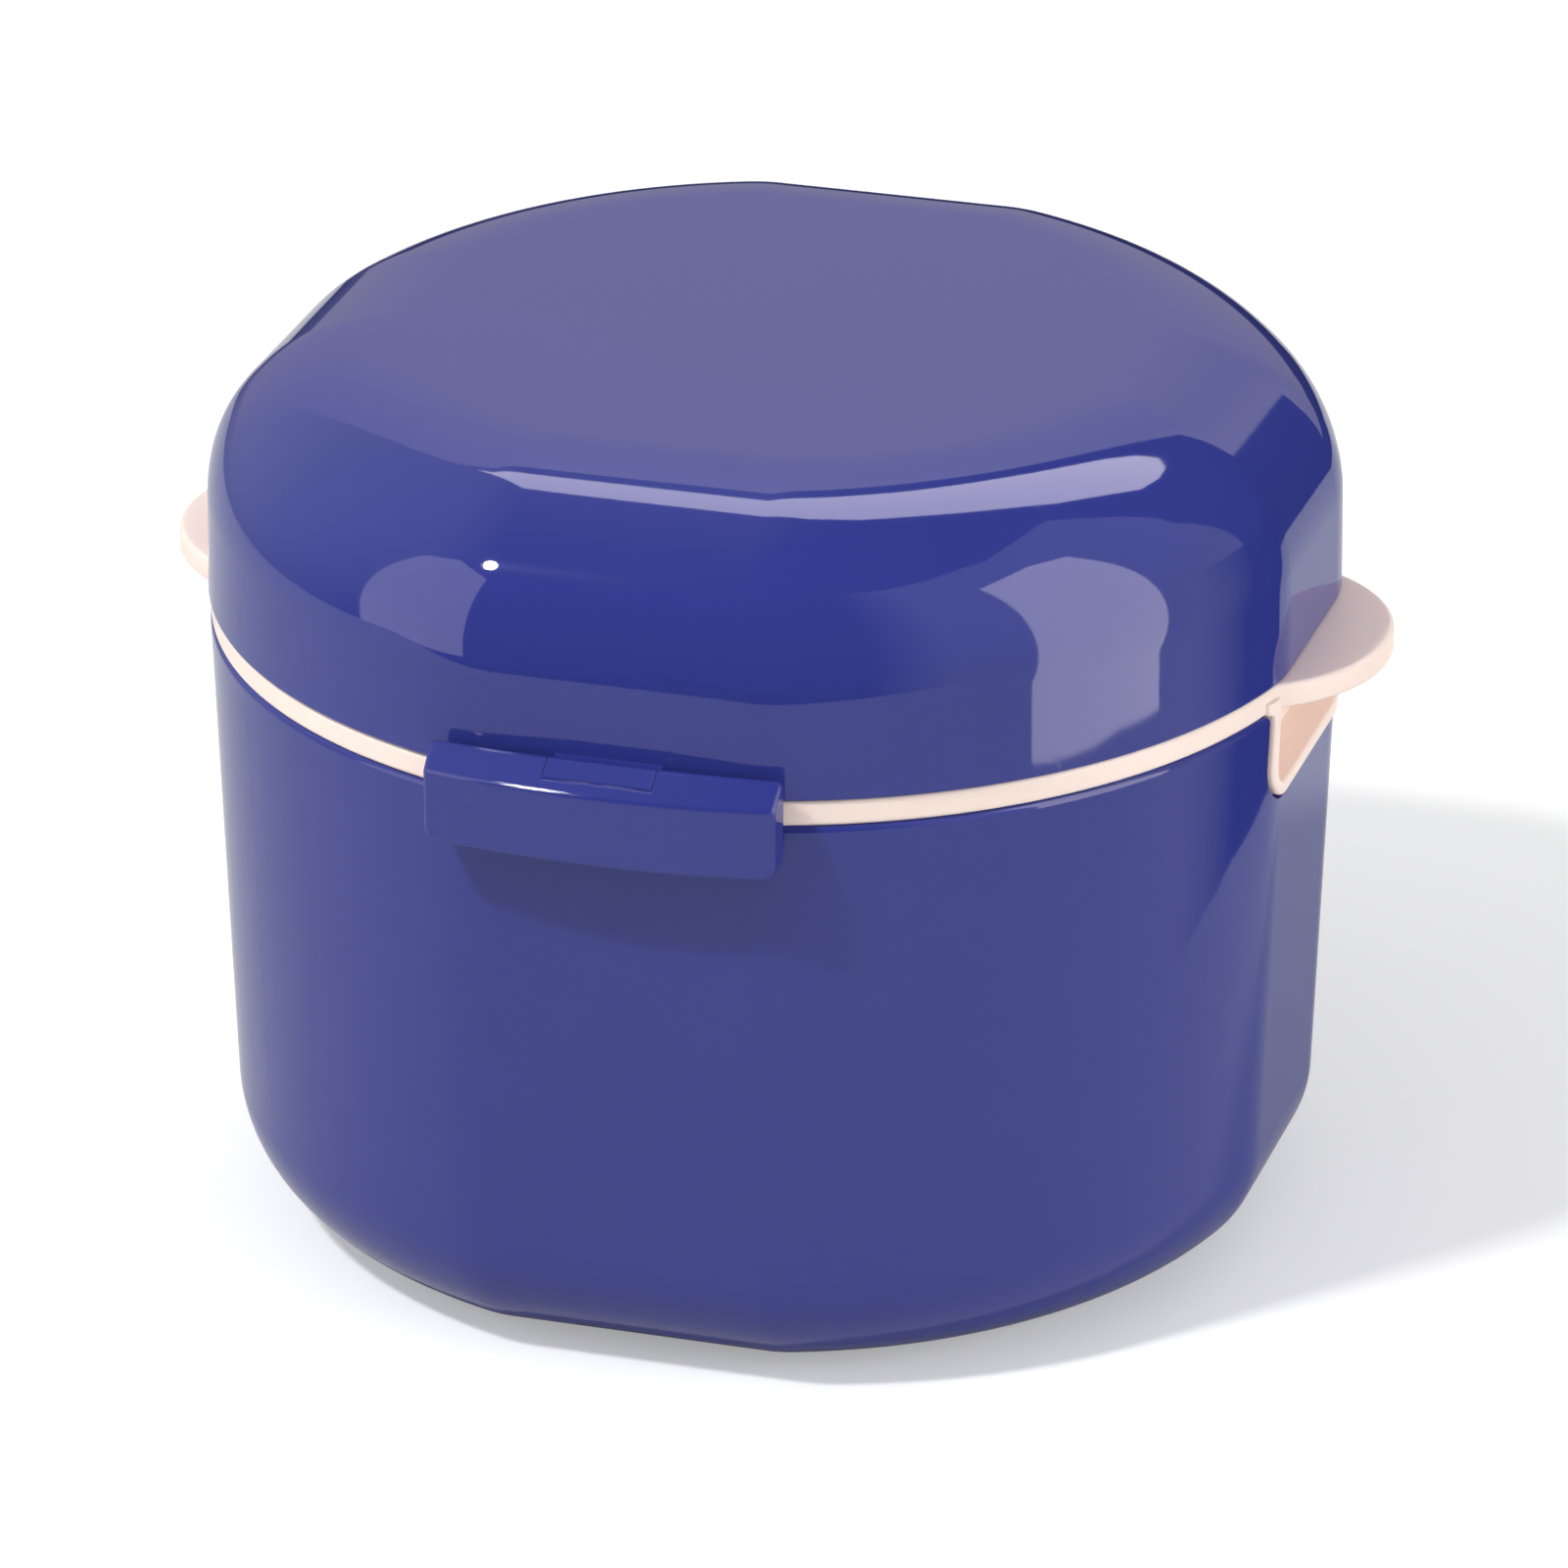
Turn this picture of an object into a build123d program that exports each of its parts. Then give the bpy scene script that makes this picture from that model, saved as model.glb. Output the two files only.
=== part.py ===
from build123d import *
from math import acos, atan2, cos, hypot, radians, sin, sqrt, tan
import os

# A retainer cleaning box: a cup, a lift-out strainer basket, and a hinged lid with a snap latch.
# Millimetres, +Z up. The origin is the middle of the foot's underside. The latch is on -Y.

# Outline in plan: a circle cut by four flats, measured at the lid's lower edge
plan_r = 42.0
front_flat = 40.4
side_flat = 41.1
lid_blend = 16.5
cup_blend = 12.0

# Heights
foot_h = 0.8
rim_z = 46.3
band_h = 1.95
lid_z = rim_z + band_h
lid_h = 20.15

# Cup
cup_inset = 0.12
cup_wall = 2.0
cup_draft = 2.2
cup_round = 9.0
foot_r = 0.4
rim_r = 0.5
catch_w = 18.0
catch_h = 0.9
catch_drop = 0.45
catch_out = 0.35

# Strainer basket
band_inset = 0.2
band_blend = 8.0
band_r = 0.35
bowl_gap = 0.6
bowl_wall = 1.5
bowl_draft = 2.5
bowl_floor_z = 6.2
bowl_round = 8.0
bowl_blend = 11.0
ear_r = 13.0
ear_x = 33.5
ear_back = 1.2
ear_root_r = 1.2

# Finger pockets under the ears, each with a raised lip that fills a notch in the cup
pocket_w = 20.6
pocket_drop = 8.5
pocket_lip = 1.0
pocket_proud = 0.3
pocket_corner = 2.2
pocket_flare = 0.9
notch_gap = 0.3

# Drain slots of the basket
slot_w = 2.6
slot_h = 18.0
slot_z = 24.0
slot_pairs = 12
floor_slot_l = 10.0
floor_slot_r = 19.0
floor_slots = 12
floor_hole_d = 3.2
floor_hole_r = 8.0
floor_holes = 6

# Lid
lid_wall = 2.0
lid_draft = 0.7
knee_h = 11.85
knee_slope = 45
knee_r = 11.0
dome_r = 16.6
lid_edge_r = 0.3
seal_w = 2.3
seal_h = 2.2
seal_slack = 0.12
seal_r = 0.5
rib_gap = 0.3
rib_w = 1.3
rib_drop = 1.5
ledge_t = 1.4

# Rear hinge
hinge_out = 4.5
hinge_z = 47.0
barrel_r = 2.4
knuckle_w = 14.0
lug_w = 4.0
lug_gap = 0.3
pin_r = 1.0
pin_slack = 0.05
bracket_drop = 8.0
arm_rise = 5.2
arm_low = 0.5
lid_open = 110
heel_w = 6.0
heel_t = 2.2
heel_gap = 0.1
heel_nose = 1.0

# Latch
latch_w = 26.0
latch_front = 44.55
latch_r = 69.0
latch_drop = 4.75
latch_shoulder = 0.68
latch_sweep = 0.9
latch_axis_out = 1.77
latch_axis_rise = 0.85
latch_barrel_r = 1.4
latch_corner = 1.0
latch_edge_r = 0.35
latch_side = 1.6
latch_skin = 1.9
hook_h = 1.35
web_h = 1.9
stub_r = 0.6
stub_l = 1.9
boss_w = 8.0
boss_gap = 0.15
boss_top = 1.0

# Places worked out from the sizes above
hinge = (front_flat + hinge_out, hinge_z)
latch_axis = (-front_flat - latch_axis_out, lid_z + latch_axis_rise)
latch_back = latch_axis[0] + latch_barrel_r
latch_low = lid_z - latch_drop
latch_crest = (latch_axis[0], latch_axis[1] + latch_barrel_r)
latch_brow = (-latch_front, lid_z + latch_shoulder)
in_wall = cup_wall / 2
cup_flat = front_flat - cup_inset
cup_depth = rim_z - foot_h
foot_inset = cup_inset + cup_depth * tan(radians(cup_draft)) + cup_round
bowl_inset = cup_inset + cup_wall + bowl_gap
mouth_inset = bowl_inset + bowl_wall
rib_inset = mouth_inset + rib_gap
pocket_z = lid_z - pocket_drop
pocket_h = rim_z - pocket_z


def box_outline(inset, blend):
    """Draw the outline, drawn in by inset, as the first shape of the open sketch."""
    Circle(plan_r - inset)
    Rectangle(2 * (side_flat - inset), 2 * (front_flat - inset), mode=Mode.INTERSECT)
    fillet(vertices(), blend)


def tangent_point(centre, radius, outside, turn):
    """Point where a line from outside touches a circle, on the side that turn chooses."""
    away = (outside[0] - centre[0], outside[1] - centre[1])
    angle = atan2(away[1], away[0]) + turn * acos(radius / hypot(*away))
    return (centre[0] + radius * cos(angle), centre[1] + radius * sin(angle))


def cup_form(inset):
    """The cup's outer form drawn in by inset: drafted walls and a rounded bottom."""
    with BuildPart() as form:
        with BuildSketch(Plane.XY.offset(rim_z)):
            box_outline(cup_inset + inset, cup_blend - inset)
        extrude(amount=-(rim_z - foot_h - inset), taper=cup_draft)
        fillet(form.edges().group_by(Axis.Z)[0], cup_round - inset)
    return form.part


def bowl_form(inset):
    """The basket's bowl drawn in by inset, from the band's top down to its rounded floor."""
    with BuildPart() as form:
        with BuildSketch(Plane.XY.offset(lid_z)):
            box_outline(bowl_inset + inset, bowl_blend - inset)
        extrude(amount=-(lid_z - bowl_floor_z - inset), taper=bowl_draft)
        fillet(form.edges().group_by(Axis.Z)[0], bowl_round - inset)
    return form.part


def dome_form(inset):
    """The lid's outer form drawn in by inset: drafted walls and a shoulder that flattens upward."""
    knee = knee_h - inset * tan(radians(knee_slope / 2))
    with BuildPart() as form:
        with BuildSketch(Plane.XY.offset(lid_z)):
            box_outline(inset, lid_blend - inset)
        extrude(amount=knee, taper=lid_draft)
        extrude(form.faces().sort_by(Axis.Z)[-1], amount=lid_h - inset - knee, taper=knee_slope)
        levels = form.edges().group_by(Axis.Z)
        fillet(levels[-1], dome_r - inset)
        knee_edges = form.edges().filter_by_position(Axis.Z, lid_z + knee, lid_z + knee)
        fillet(knee_edges, knee_r - inset)
    return form.part


def ring_form(outer, inner, bottom, top):
    """A ring that follows the outline between two insets."""
    with BuildPart() as form:
        with BuildSketch(Plane.XY.offset(bottom)):
            box_outline(outer, lid_blend - outer)
        extrude(amount=top - bottom)
        with BuildSketch(Plane.XY.offset(bottom)):
            box_outline(inner, lid_blend - inner)
        extrude(amount=top - bottom, mode=Mode.SUBTRACT)
    return form.part


def pocket_profile(margin):
    """Draw the pocket's front shape, grown by margin, in the open sketch on the YZ plane."""
    with Locations((ear_back, pocket_z - margin)):
        Rectangle(pocket_w + 2 * margin, 2 * pocket_h, align=(Align.CENTER, Align.MIN))
    fillet(vertices().group_by(Axis.Y)[0], pocket_corner + margin)


def frame_profile(margin):
    """Draw the pocket's shape, grown by margin, and flare it where it meets the band."""
    pocket_profile(margin)
    with Locations((ear_back, rim_z)):
        Rectangle(pocket_w + 2 * margin + 4 * pocket_flare, pocket_h, align=(Align.CENTER, Align.MIN))
    at_band = vertices().filter_by_position(Axis.Y, rim_z, rim_z)
    fillet(at_band.sort_by(lambda v: abs(v.X - ear_back))[:2], pocket_flare)


cup_outside = cup_form(0)
cup_hollow = cup_form(cup_wall)
bowl_outside = bowl_form(0)
bowl_hollow = bowl_form(bowl_wall)
dome_outside = dome_form(0)
dome_hollow = dome_form(lid_wall)

# Cup: a drafted shell on a low flat foot, notched at both sides, with the hinge lugs and the catch
lug_x = (knuckle_w + lug_w) / 2 + lug_gap
lug_top = (cup_flat - in_wall, rim_z - lug_gap)
lug_low = (cup_flat - in_wall, rim_z - bracket_drop)
pin_end = lug_x + lug_w / 2

with BuildPart() as cup:
    add(cup_outside)
    fillet(cup.edges().group_by(Axis.Z)[-1], rim_r)
    with BuildSketch():
        box_outline(foot_inset, cup_blend)
    extrude(amount=foot_h)
    fillet(cup.edges().group_by(Axis.Z)[0], foot_r)
    for side in (-1, 1):
        with BuildSketch(Plane.YZ.offset(side * lug_x)):
            with BuildLine():
                Polyline(lug_top, hinge, tangent_point(hinge, barrel_r, lug_low, 1), lug_low, close=True)
            make_face()
            with Locations(hinge):
                Circle(barrel_r)
        extrude(amount=lug_w / 2, both=True)
    with BuildSketch(Plane.YZ):
        with Locations(hinge):
            Circle(pin_r)
    extrude(amount=pin_end, both=True, mode=Mode.SUBTRACT)
    with BuildSketch(Plane.XZ.offset(cup_flat - in_wall)):
        with Locations((0, rim_z - catch_drop)):
            Rectangle(catch_w, catch_h, align=(Align.CENTER, Align.MAX))
    extrude(amount=in_wall + catch_out)
    chamfer(cup.faces().sort_by(Axis.Y)[0].edges(), catch_out / 2)
    add(cup_hollow, mode=Mode.SUBTRACT)
    with BuildSketch(Plane.YZ):
        frame_profile(pocket_lip + notch_gap)
    extrude(amount=plan_r, both=True, mode=Mode.SUBTRACT)
cup.part.label = "cup"

# Basket: a perforated bowl under a rim band with two ears, and a finger pocket under each ear
with BuildPart() as pocket_frames:
    with BuildSketch(Plane.YZ):
        frame_profile(pocket_lip)
    extrude(amount=plan_r, both=True)
    with BuildSketch(Plane.XY.offset(rim_z)):
        box_outline(cup_inset - pocket_proud, cup_blend)
    extrude(amount=-pocket_h - pocket_lip, taper=cup_draft, mode=Mode.INTERSECT)

with BuildPart() as pocket_space:
    with BuildSketch(Plane.YZ):
        pocket_profile(0)
    extrude(amount=plan_r, both=True)
    with BuildSketch(Plane.XY.offset(rim_z)):
        Circle(plan_r + pocket_proud)
    extrude(amount=-pocket_h, mode=Mode.INTERSECT)
    add(bowl_outside, mode=Mode.SUBTRACT)

with BuildPart() as basket:
    with BuildSketch(Plane.XY.offset(rim_z)):
        box_outline(band_inset, band_blend)
        with Locations((-ear_x, ear_back), (ear_x, ear_back)):
            Circle(ear_r)
        ear_roots = vertices().filter_by(lambda v: ear_r / 2 < abs(v.Y - ear_back) < ear_r)
        fillet(ear_roots, ear_root_r)
    extrude(amount=band_h)
    fillet(basket.edges().filter_by(Axis.Z, reverse=True), band_r)
    add(bowl_outside)
    add(pocket_frames.part)
    add(pocket_space.part, mode=Mode.SUBTRACT)
    add(bowl_hollow, mode=Mode.SUBTRACT)
    for turn in range(slot_pairs):
        side_view = Plane.XZ.rotated((0, 0, 180 / slot_pairs * (turn + 0.5)))
        with BuildSketch(side_view):
            with Locations((0, slot_z)):
                SlotOverall(slot_h, slot_w, rotation=90)
        extrude(amount=plan_r, both=True, mode=Mode.SUBTRACT)
    with BuildSketch(Plane.XY.offset(bowl_floor_z)):
        Circle(floor_hole_d / 2)
        with PolarLocations(floor_hole_r, floor_holes):
            Circle(floor_hole_d / 2)
        with PolarLocations(floor_slot_r, floor_slots):
            SlotOverall(floor_slot_l, slot_w)
    extrude(amount=bowl_wall, mode=Mode.SUBTRACT)
basket.part.label = "basket"

# Lid: a domed shell with a seal channel, the hinge knuckle with its stop heel, and the latch boss
ledge_z = lid_z + seal_h
seal_ledge = ring_form(lid_wall / 2, rib_inset + rib_w, ledge_z, ledge_z + ledge_t)
plug_rib = ring_form(rib_inset, rib_inset + rib_w, lid_z - rib_drop, ledge_z)
arm_foot = (front_flat - in_wall, lid_z + arm_low)
arm_head = (front_flat - in_wall, lid_z + arm_rise)
heel_l = hinge[0] - cup_flat - heel_gap

with BuildPart() as lid:
    add(dome_outside)
    fillet(lid.edges().group_by(Axis.Z)[0], lid_edge_r)
    with BuildSketch(Plane.YZ):
        with BuildLine():
            Polyline(arm_foot, hinge, tangent_point(hinge, barrel_r, arm_head, -1), arm_head, close=True)
        make_face()
        with Locations(hinge):
            Circle(barrel_r)
    extrude(amount=knuckle_w / 2, both=True)
    with BuildSketch(Plane.YZ):
        with Locations(hinge):
            Polygon(
                (0, 0),
                (heel_l - heel_nose, 0),
                (heel_l, heel_nose),
                (heel_l, heel_t),
                (0, heel_t),
                rotation=180 + lid_open,
                align=None,
            )
    extrude(amount=heel_w / 2, both=True)
    with BuildSketch(Plane.YZ):
        with Locations(hinge):
            Circle(pin_r + pin_slack)
    extrude(amount=knuckle_w / 2, both=True, mode=Mode.SUBTRACT)
    with BuildSketch(Plane.YZ):
        with Locations((latch_axis[0], lid_z)):
            Rectangle(
                latch_axis_out + in_wall,
                latch_axis_rise + boss_top,
                align=(Align.MIN, Align.MIN),
            )
        with Locations(latch_axis):
            Circle(latch_barrel_r)
        with BuildLine():
            Polyline(latch_brow, latch_crest, (latch_brow[0], latch_crest[1]), close=True)
        make_face(mode=Mode.SUBTRACT)
    extrude(amount=boss_w / 2, both=True)
    with BuildSketch(Plane.YZ):
        with Locations(latch_axis):
            Circle(stub_r + pin_slack)
    extrude(amount=boss_w / 2, both=True, mode=Mode.SUBTRACT)
    add(dome_hollow, mode=Mode.SUBTRACT)
    add(seal_ledge)
    add(plug_rib)
lid.part.label = "lid"

# Seal: a silicone ring in the lid's channel that rests on the basket's band
seal_inset = lid_wall + seal_slack
with BuildPart() as lid_seal:
    add(ring_form(seal_inset, seal_inset + seal_w, lid_z, ledge_z))
    fillet(lid_seal.edges().group_by(Axis.Z)[0], seal_r)
lid_seal.part.label = "lid_seal"

# Latch: a curved flap that turns on two stub axles held in the lid's boss
with BuildPart() as latch:
    for side in (-1, 0, 1):
        x = side * latch_w / 2
        front = latch_r - latch_front - sqrt(latch_r**2 - x**2)
        crest = (latch_crest[0] + abs(side) * latch_sweep, latch_crest[1])
        with BuildSketch(Plane.YZ.offset(x)):
            with BuildLine():
                Polyline(
                    (latch_back, latch_axis[1]),
                    (latch_back, latch_low),
                    (front, latch_low),
                    (front, latch_brow[1]),
                    crest,
                )
                RadiusArc(crest, (latch_back, latch_axis[1]), latch_barrel_r)
            make_face()
    loft()
    low_edges = latch.edges().group_by(Axis.Z)[0].group_by(Axis.X)
    fillet(low_edges[0] + low_edges[-1], latch_corner)
    fillet(latch.faces().sort_by(Axis.Y)[0].edges(), latch_edge_r)
    with BuildSketch(Plane.XY.offset(latch_low + hook_h)):
        with Locations((0, latch_r - latch_front)):
            Circle(latch_r - latch_skin)
        with Locations((0, latch_back)):
            Rectangle(latch_w - 2 * latch_side, latch_r, align=(Align.CENTER, Align.MAX), mode=Mode.INTERSECT)
    extrude(amount=latch_axis[1] - web_h - latch_low - hook_h, mode=Mode.SUBTRACT)
    with BuildSketch(Plane.YZ):
        with Locations(latch_axis):
            Circle(latch_barrel_r + boss_gap)
            Rectangle(
                latch_axis_out,
                2 * (latch_barrel_r + boss_gap),
                align=(Align.MIN, Align.CENTER),
            )
    extrude(amount=boss_w / 2 + boss_gap, both=True, mode=Mode.SUBTRACT)
    for side in (-1, 1):
        with BuildSketch(Plane.YZ.offset(side * (boss_w / 2 + boss_gap - stub_l))):
            with Locations(latch_axis):
                Circle(stub_r)
        extrude(amount=side * (stub_l + stub_r))
latch.part.label = "latch"

# Hinge pin: pressed into the cup's lugs, free in the lid's knuckle
with BuildPart() as hinge_pin:
    with BuildSketch(Plane.YZ):
        with Locations(hinge):
            Circle(pin_r)
    extrude(amount=pin_end, both=True)
    chamfer(hinge_pin.edges().filter_by(GeomType.CIRCLE), pin_r / 5)
hinge_pin.part.label = "hinge_pin"

os.makedirs("parts", exist_ok=True)
for piece in (cup, basket, lid, lid_seal, latch, hinge_pin):
    export_step(piece.part, f"parts/{piece.part.label}.step")
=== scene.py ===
"""Retainer cleaning box: a blue cup and domed lid around a pale pink strainer basket.

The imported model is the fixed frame. The cup, basket, lid, seal and latch are rebuilt here as finer
meshes over their solids, and the hinge pin keeps its own. Lengths are in millimetres until a mesh is
made, and the scene is in metres.
"""

import logging
from dataclasses import dataclass, field, replace
from enum import Enum
from functools import cached_property
from math import acos, asin, atan2, ceil, cos, degrees, hypot, pi, radians, sin, sqrt, tan

import bmesh
import bpy
import numpy as np
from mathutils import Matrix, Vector


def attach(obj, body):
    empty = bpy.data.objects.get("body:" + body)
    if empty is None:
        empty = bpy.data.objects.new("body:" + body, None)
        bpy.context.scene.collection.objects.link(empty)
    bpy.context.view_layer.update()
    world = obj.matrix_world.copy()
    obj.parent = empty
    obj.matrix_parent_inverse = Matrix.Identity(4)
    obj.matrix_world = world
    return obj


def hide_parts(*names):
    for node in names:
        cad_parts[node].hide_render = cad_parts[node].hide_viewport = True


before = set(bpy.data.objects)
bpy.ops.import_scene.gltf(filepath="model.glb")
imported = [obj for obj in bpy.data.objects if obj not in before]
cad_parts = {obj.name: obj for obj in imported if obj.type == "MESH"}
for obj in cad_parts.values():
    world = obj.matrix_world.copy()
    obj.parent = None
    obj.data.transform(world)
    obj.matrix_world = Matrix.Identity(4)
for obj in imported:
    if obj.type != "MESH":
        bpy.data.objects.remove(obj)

log = logging.getLogger("cleaning_box")

MM = 0.001
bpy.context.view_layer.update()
# How far a facet may lie inside the round that it stands for, and how long one on a flat may be.
FACET_SAG = 0.0012
FLAT_STEP = 2.0
SHARP_ANGLE = radians(32)
# How far a cutter reaches past what it cuts.
CUTTER_REACH = 1.0
BEVEL_SAMPLES = 4

Point = tuple[float, float]
Corner = tuple[float, float, float]
Colour = tuple[float, float, float]
Wire = tuple[bpy.types.Node, str | int, bpy.types.Node, str | int]


class Join(Enum):
    """How a second body changes the first."""

    ADD = "UNION"
    CUT = "DIFFERENCE"


@dataclass(frozen=True)
class BoxSizes:
    """Sizes that the pieces share, in millimetres, with the latch on -Y."""

    plan_r: float = 42.0
    front_flat: float = 40.4
    side_flat: float = 41.1
    foot_h: float = 0.8
    rim_z: float = 46.3
    band_h: float = 1.95
    lid_h: float = 20.15
    cup_inset: float = 0.12
    cup_wall: float = 2.0
    cup_draft: float = 2.2
    cup_blend: float = 12.0
    hinge_out: float = 4.5
    hinge_z: float = 47.0
    barrel_r: float = 2.4
    knuckle_w: float = 14.0
    lug_w: float = 4.0
    lug_gap: float = 0.3
    pin_r: float = 1.0
    pin_slack: float = 0.05
    latch_axis_out: float = 1.77
    latch_axis_rise: float = 0.85
    latch_barrel_r: float = 1.4
    latch_front: float = 44.55
    latch_shoulder: float = 0.68
    boss_w: float = 8.0
    boss_gap: float = 0.04
    stub_r: float = 0.6
    pocket_w: float = 20.6
    pocket_drop: float = 8.5
    pocket_lip: float = 1.0
    pocket_corner: float = 2.2
    pocket_flare: float = 0.9
    ear_back: float = 1.2

    @property
    def lid_z(self) -> float:
        """Height of the lid's lower edge, which is the band's top."""
        return self.rim_z + self.band_h

    @property
    def top_z(self) -> float:
        """Height of the lid's top."""
        return self.lid_z + self.lid_h

    @property
    def hinge(self) -> Point:
        """The rear hinge's axis, as y and z."""
        return (self.front_flat + self.hinge_out, self.hinge_z)

    @property
    def latch_axis(self) -> Point:
        """The latch's axis, as y and z."""
        return (-self.front_flat - self.latch_axis_out, self.lid_z + self.latch_axis_rise)

    @property
    def latch_brow(self) -> Point:
        """The latch's upper front edge at its middle, as y and z."""
        return (-self.latch_front, self.lid_z + self.latch_shoulder)

    @property
    def cup_flat(self) -> float:
        """Distance of the cup's front and rear flats from the middle, at its rim."""
        return self.front_flat - self.cup_inset

    @property
    def pocket_z(self) -> float:
        """Height of the finger pockets' floor."""
        return self.lid_z - self.pocket_drop


SIZES = BoxSizes()


@dataclass(frozen=True)
class Arc:
    """A round stretch of an outline. Where end is less than start, the material is outside it."""

    centre: Point
    radius: float
    start: float
    end: float

    def mirrored(self) -> "Arc":
        """The same stretch on the other side of the Y axis, still run anticlockwise round the box."""
        return Arc((-self.centre[0], self.centre[1]), self.radius, 180 - self.end, 180 - self.start)

    def fronted(self) -> "Arc":
        """The same stretch on the other side of the X axis, still run anticlockwise round the box."""
        return Arc((self.centre[0], -self.centre[1]), self.radius, 360 - self.end, 360 - self.start)

    def samples(self) -> np.ndarray:
        """Points along the stretch.

        Returns:
            One row of x, y and the outward normal's x and y for each point.
        """
        step = degrees(sqrt(8 * FACET_SAG / self.radius))
        count = max(2, ceil(abs(self.end - self.start) / step) + 1)
        angles = np.radians(np.linspace(self.start, self.end, count))
        ray = np.stack([np.cos(angles), np.sin(angles)], axis=1)
        outward = ray if self.end > self.start else -ray
        return np.hstack([np.array(self.centre) + self.radius * ray, outward])


@dataclass(frozen=True)
class Outline:
    """A closed outline in plan. Any point can be drawn in along its normal."""

    points: np.ndarray
    normals: np.ndarray

    @classmethod
    def from_half(cls, half: list[Arc]) -> "Outline":
        """Builds the whole outline from the arcs on the +X side.

        Args:
            half: the arcs in order from the front to the rear, joined by straight stretches.

        Returns:
            The outline, sampled finely enough for smooth reflections.
        """
        arcs = half + [arc.mirrored() for arc in reversed(half)]
        rows: list[np.ndarray] = []
        for arc, following in zip(arcs, arcs[1:] + arcs[:1]):
            own = arc.samples()
            joint = following.samples()[0]
            gap = float(np.hypot(*(joint[:2] - own[-1, :2])))
            rows.extend(own[:-1])
            if gap > FACET_SAG:
                count = ceil(gap / FLAT_STEP)
                rows.extend(own[-1] + (joint - own[-1]) * k / count for k in range(count))
        table = np.array(rows)
        return cls(table[:, :2], table[:, 2:])

    @classmethod
    def box(cls, blend: float) -> "Outline":
        """The box's outline at the lid's lower edge: a circle cut by four blended flats.

        Args:
            blend: radius that joins each flat to the circle, measured without inset.

        Returns:
            The outline.
        """
        side, front = flat_blends(blend)
        first = degrees(atan2(side[1], side[0]))
        last = degrees(atan2(front[1], front[0]))
        rear_half = [
            Arc(side, blend, 0, first),
            Arc((0, 0), SIZES.plan_r, first, last),
            Arc(front, blend, last, 90),
        ]
        return cls.from_half([arc.fronted() for arc in reversed(rear_half)] + rear_half)

    def ring(self, inset: float) -> np.ndarray:
        """The outline's points, drawn in by inset."""
        return self.points - inset * self.normals


def flat_blends(blend: float) -> tuple[Point, Point]:
    """Centres of the arcs that blend the side flat and the front flat into the circle.

    Args:
        blend: the arcs' radius.

    Returns:
        The side arc's centre and the front arc's centre, in the quarter between +X and +Y.
    """
    reach = SIZES.plan_r - blend
    side_x = SIZES.side_flat - blend
    front_y = SIZES.front_flat - blend
    return (side_x, sqrt(reach**2 - side_x**2)), (sqrt(reach**2 - front_y**2), front_y)


def side_reach(y: float, inset: float, blend: float) -> float:
    """How far the outline reaches along X at a given y near the side flats.

    Args:
        y: distance from the side flat's middle.
        inset: how far the outline is drawn in.
        blend: radius of the flat's blends, measured without inset.

    Returns:
        The x of the outline there.
    """
    centre = flat_blends(blend)[0]
    from_middle = abs(y)
    round_from = (SIZES.plan_r - inset) * sin(atan2(centre[1], centre[0]))
    if from_middle <= centre[1]:
        return SIZES.side_flat - inset
    if from_middle <= round_from:
        return centre[0] + sqrt((blend - inset) ** 2 - (from_middle - centre[1]) ** 2)
    return sqrt((SIZES.plan_r - inset) ** 2 - y**2)


def rounded(corners: list[Corner], closed: bool = False, fixed_steps: int = 0) -> np.ndarray:
    """A run of straight lines whose corners are rounded.

    Args:
        corners: each corner's two coordinates and its radius.
        closed: whether the last corner joins the first.
        fixed_steps: steps in each round, or 0 to choose them by its size.

    Returns:
        The points along the run.
    """
    count = len(corners)
    run: list[Point] = []
    for index, (a, b, radius) in enumerate(corners):
        here = np.array((a, b))
        at_end = not closed and index in (0, count - 1)
        if at_end or radius == 0:
            run.append((a, b))
            continue
        back = np.array(corners[index - 1][:2]) - here
        ahead = np.array(corners[(index + 1) % count][:2]) - here
        back = back / np.hypot(*back)
        ahead = ahead / np.hypot(*ahead)
        half = acos(float(np.clip(back @ ahead, -1, 1))) / 2
        bisector = (back + ahead) / np.hypot(*(back + ahead))
        centre = here + bisector * radius / sin(half)
        first = here + back * radius / tan(half) - centre
        last = here + ahead * radius / tan(half) - centre
        start = atan2(first[1], first[0])
        turn = (atan2(last[1], last[0]) - start + pi) % (2 * pi) - pi
        steps = fixed_steps or max(3, ceil(abs(turn) / sqrt(8 * FACET_SAG / radius)))
        for step in range(steps + 1):
            angle = start + turn * step / steps
            run.append((centre[0] + radius * cos(angle), centre[1] + radius * sin(angle)))
    return np.array(run)


def arc_run(centre: Point, radius: float, start: float, end: float) -> list[Point]:
    """Points along an arc, from start to end degrees."""
    count = max(3, ceil(radians(abs(end - start)) / sqrt(8 * FACET_SAG / radius)))
    angles = [radians(start + (end - start) * k / count) for k in range(count + 1)]
    return [(centre[0] + radius * cos(angle), centre[1] + radius * sin(angle)) for angle in angles]


def circle(centre: Point, radius: float) -> list[Point]:
    """Points round a whole circle."""
    return arc_run(centre, radius, 0, 360)[:-1]


def tangent_angle(centre: Point, radius: float, outside: Point, turn: int) -> float:
    """Angle on a circle where a line from outside touches it, on the side that turn chooses."""
    away = (outside[0] - centre[0], outside[1] - centre[1])
    return degrees(atan2(away[1], away[0]) + turn * acos(radius / hypot(*away)))


def angle_to(centre: Point, target: Point) -> float:
    """Direction from centre to target, in degrees."""
    return degrees(atan2(target[1] - centre[1], target[0] - centre[0]))


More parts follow.
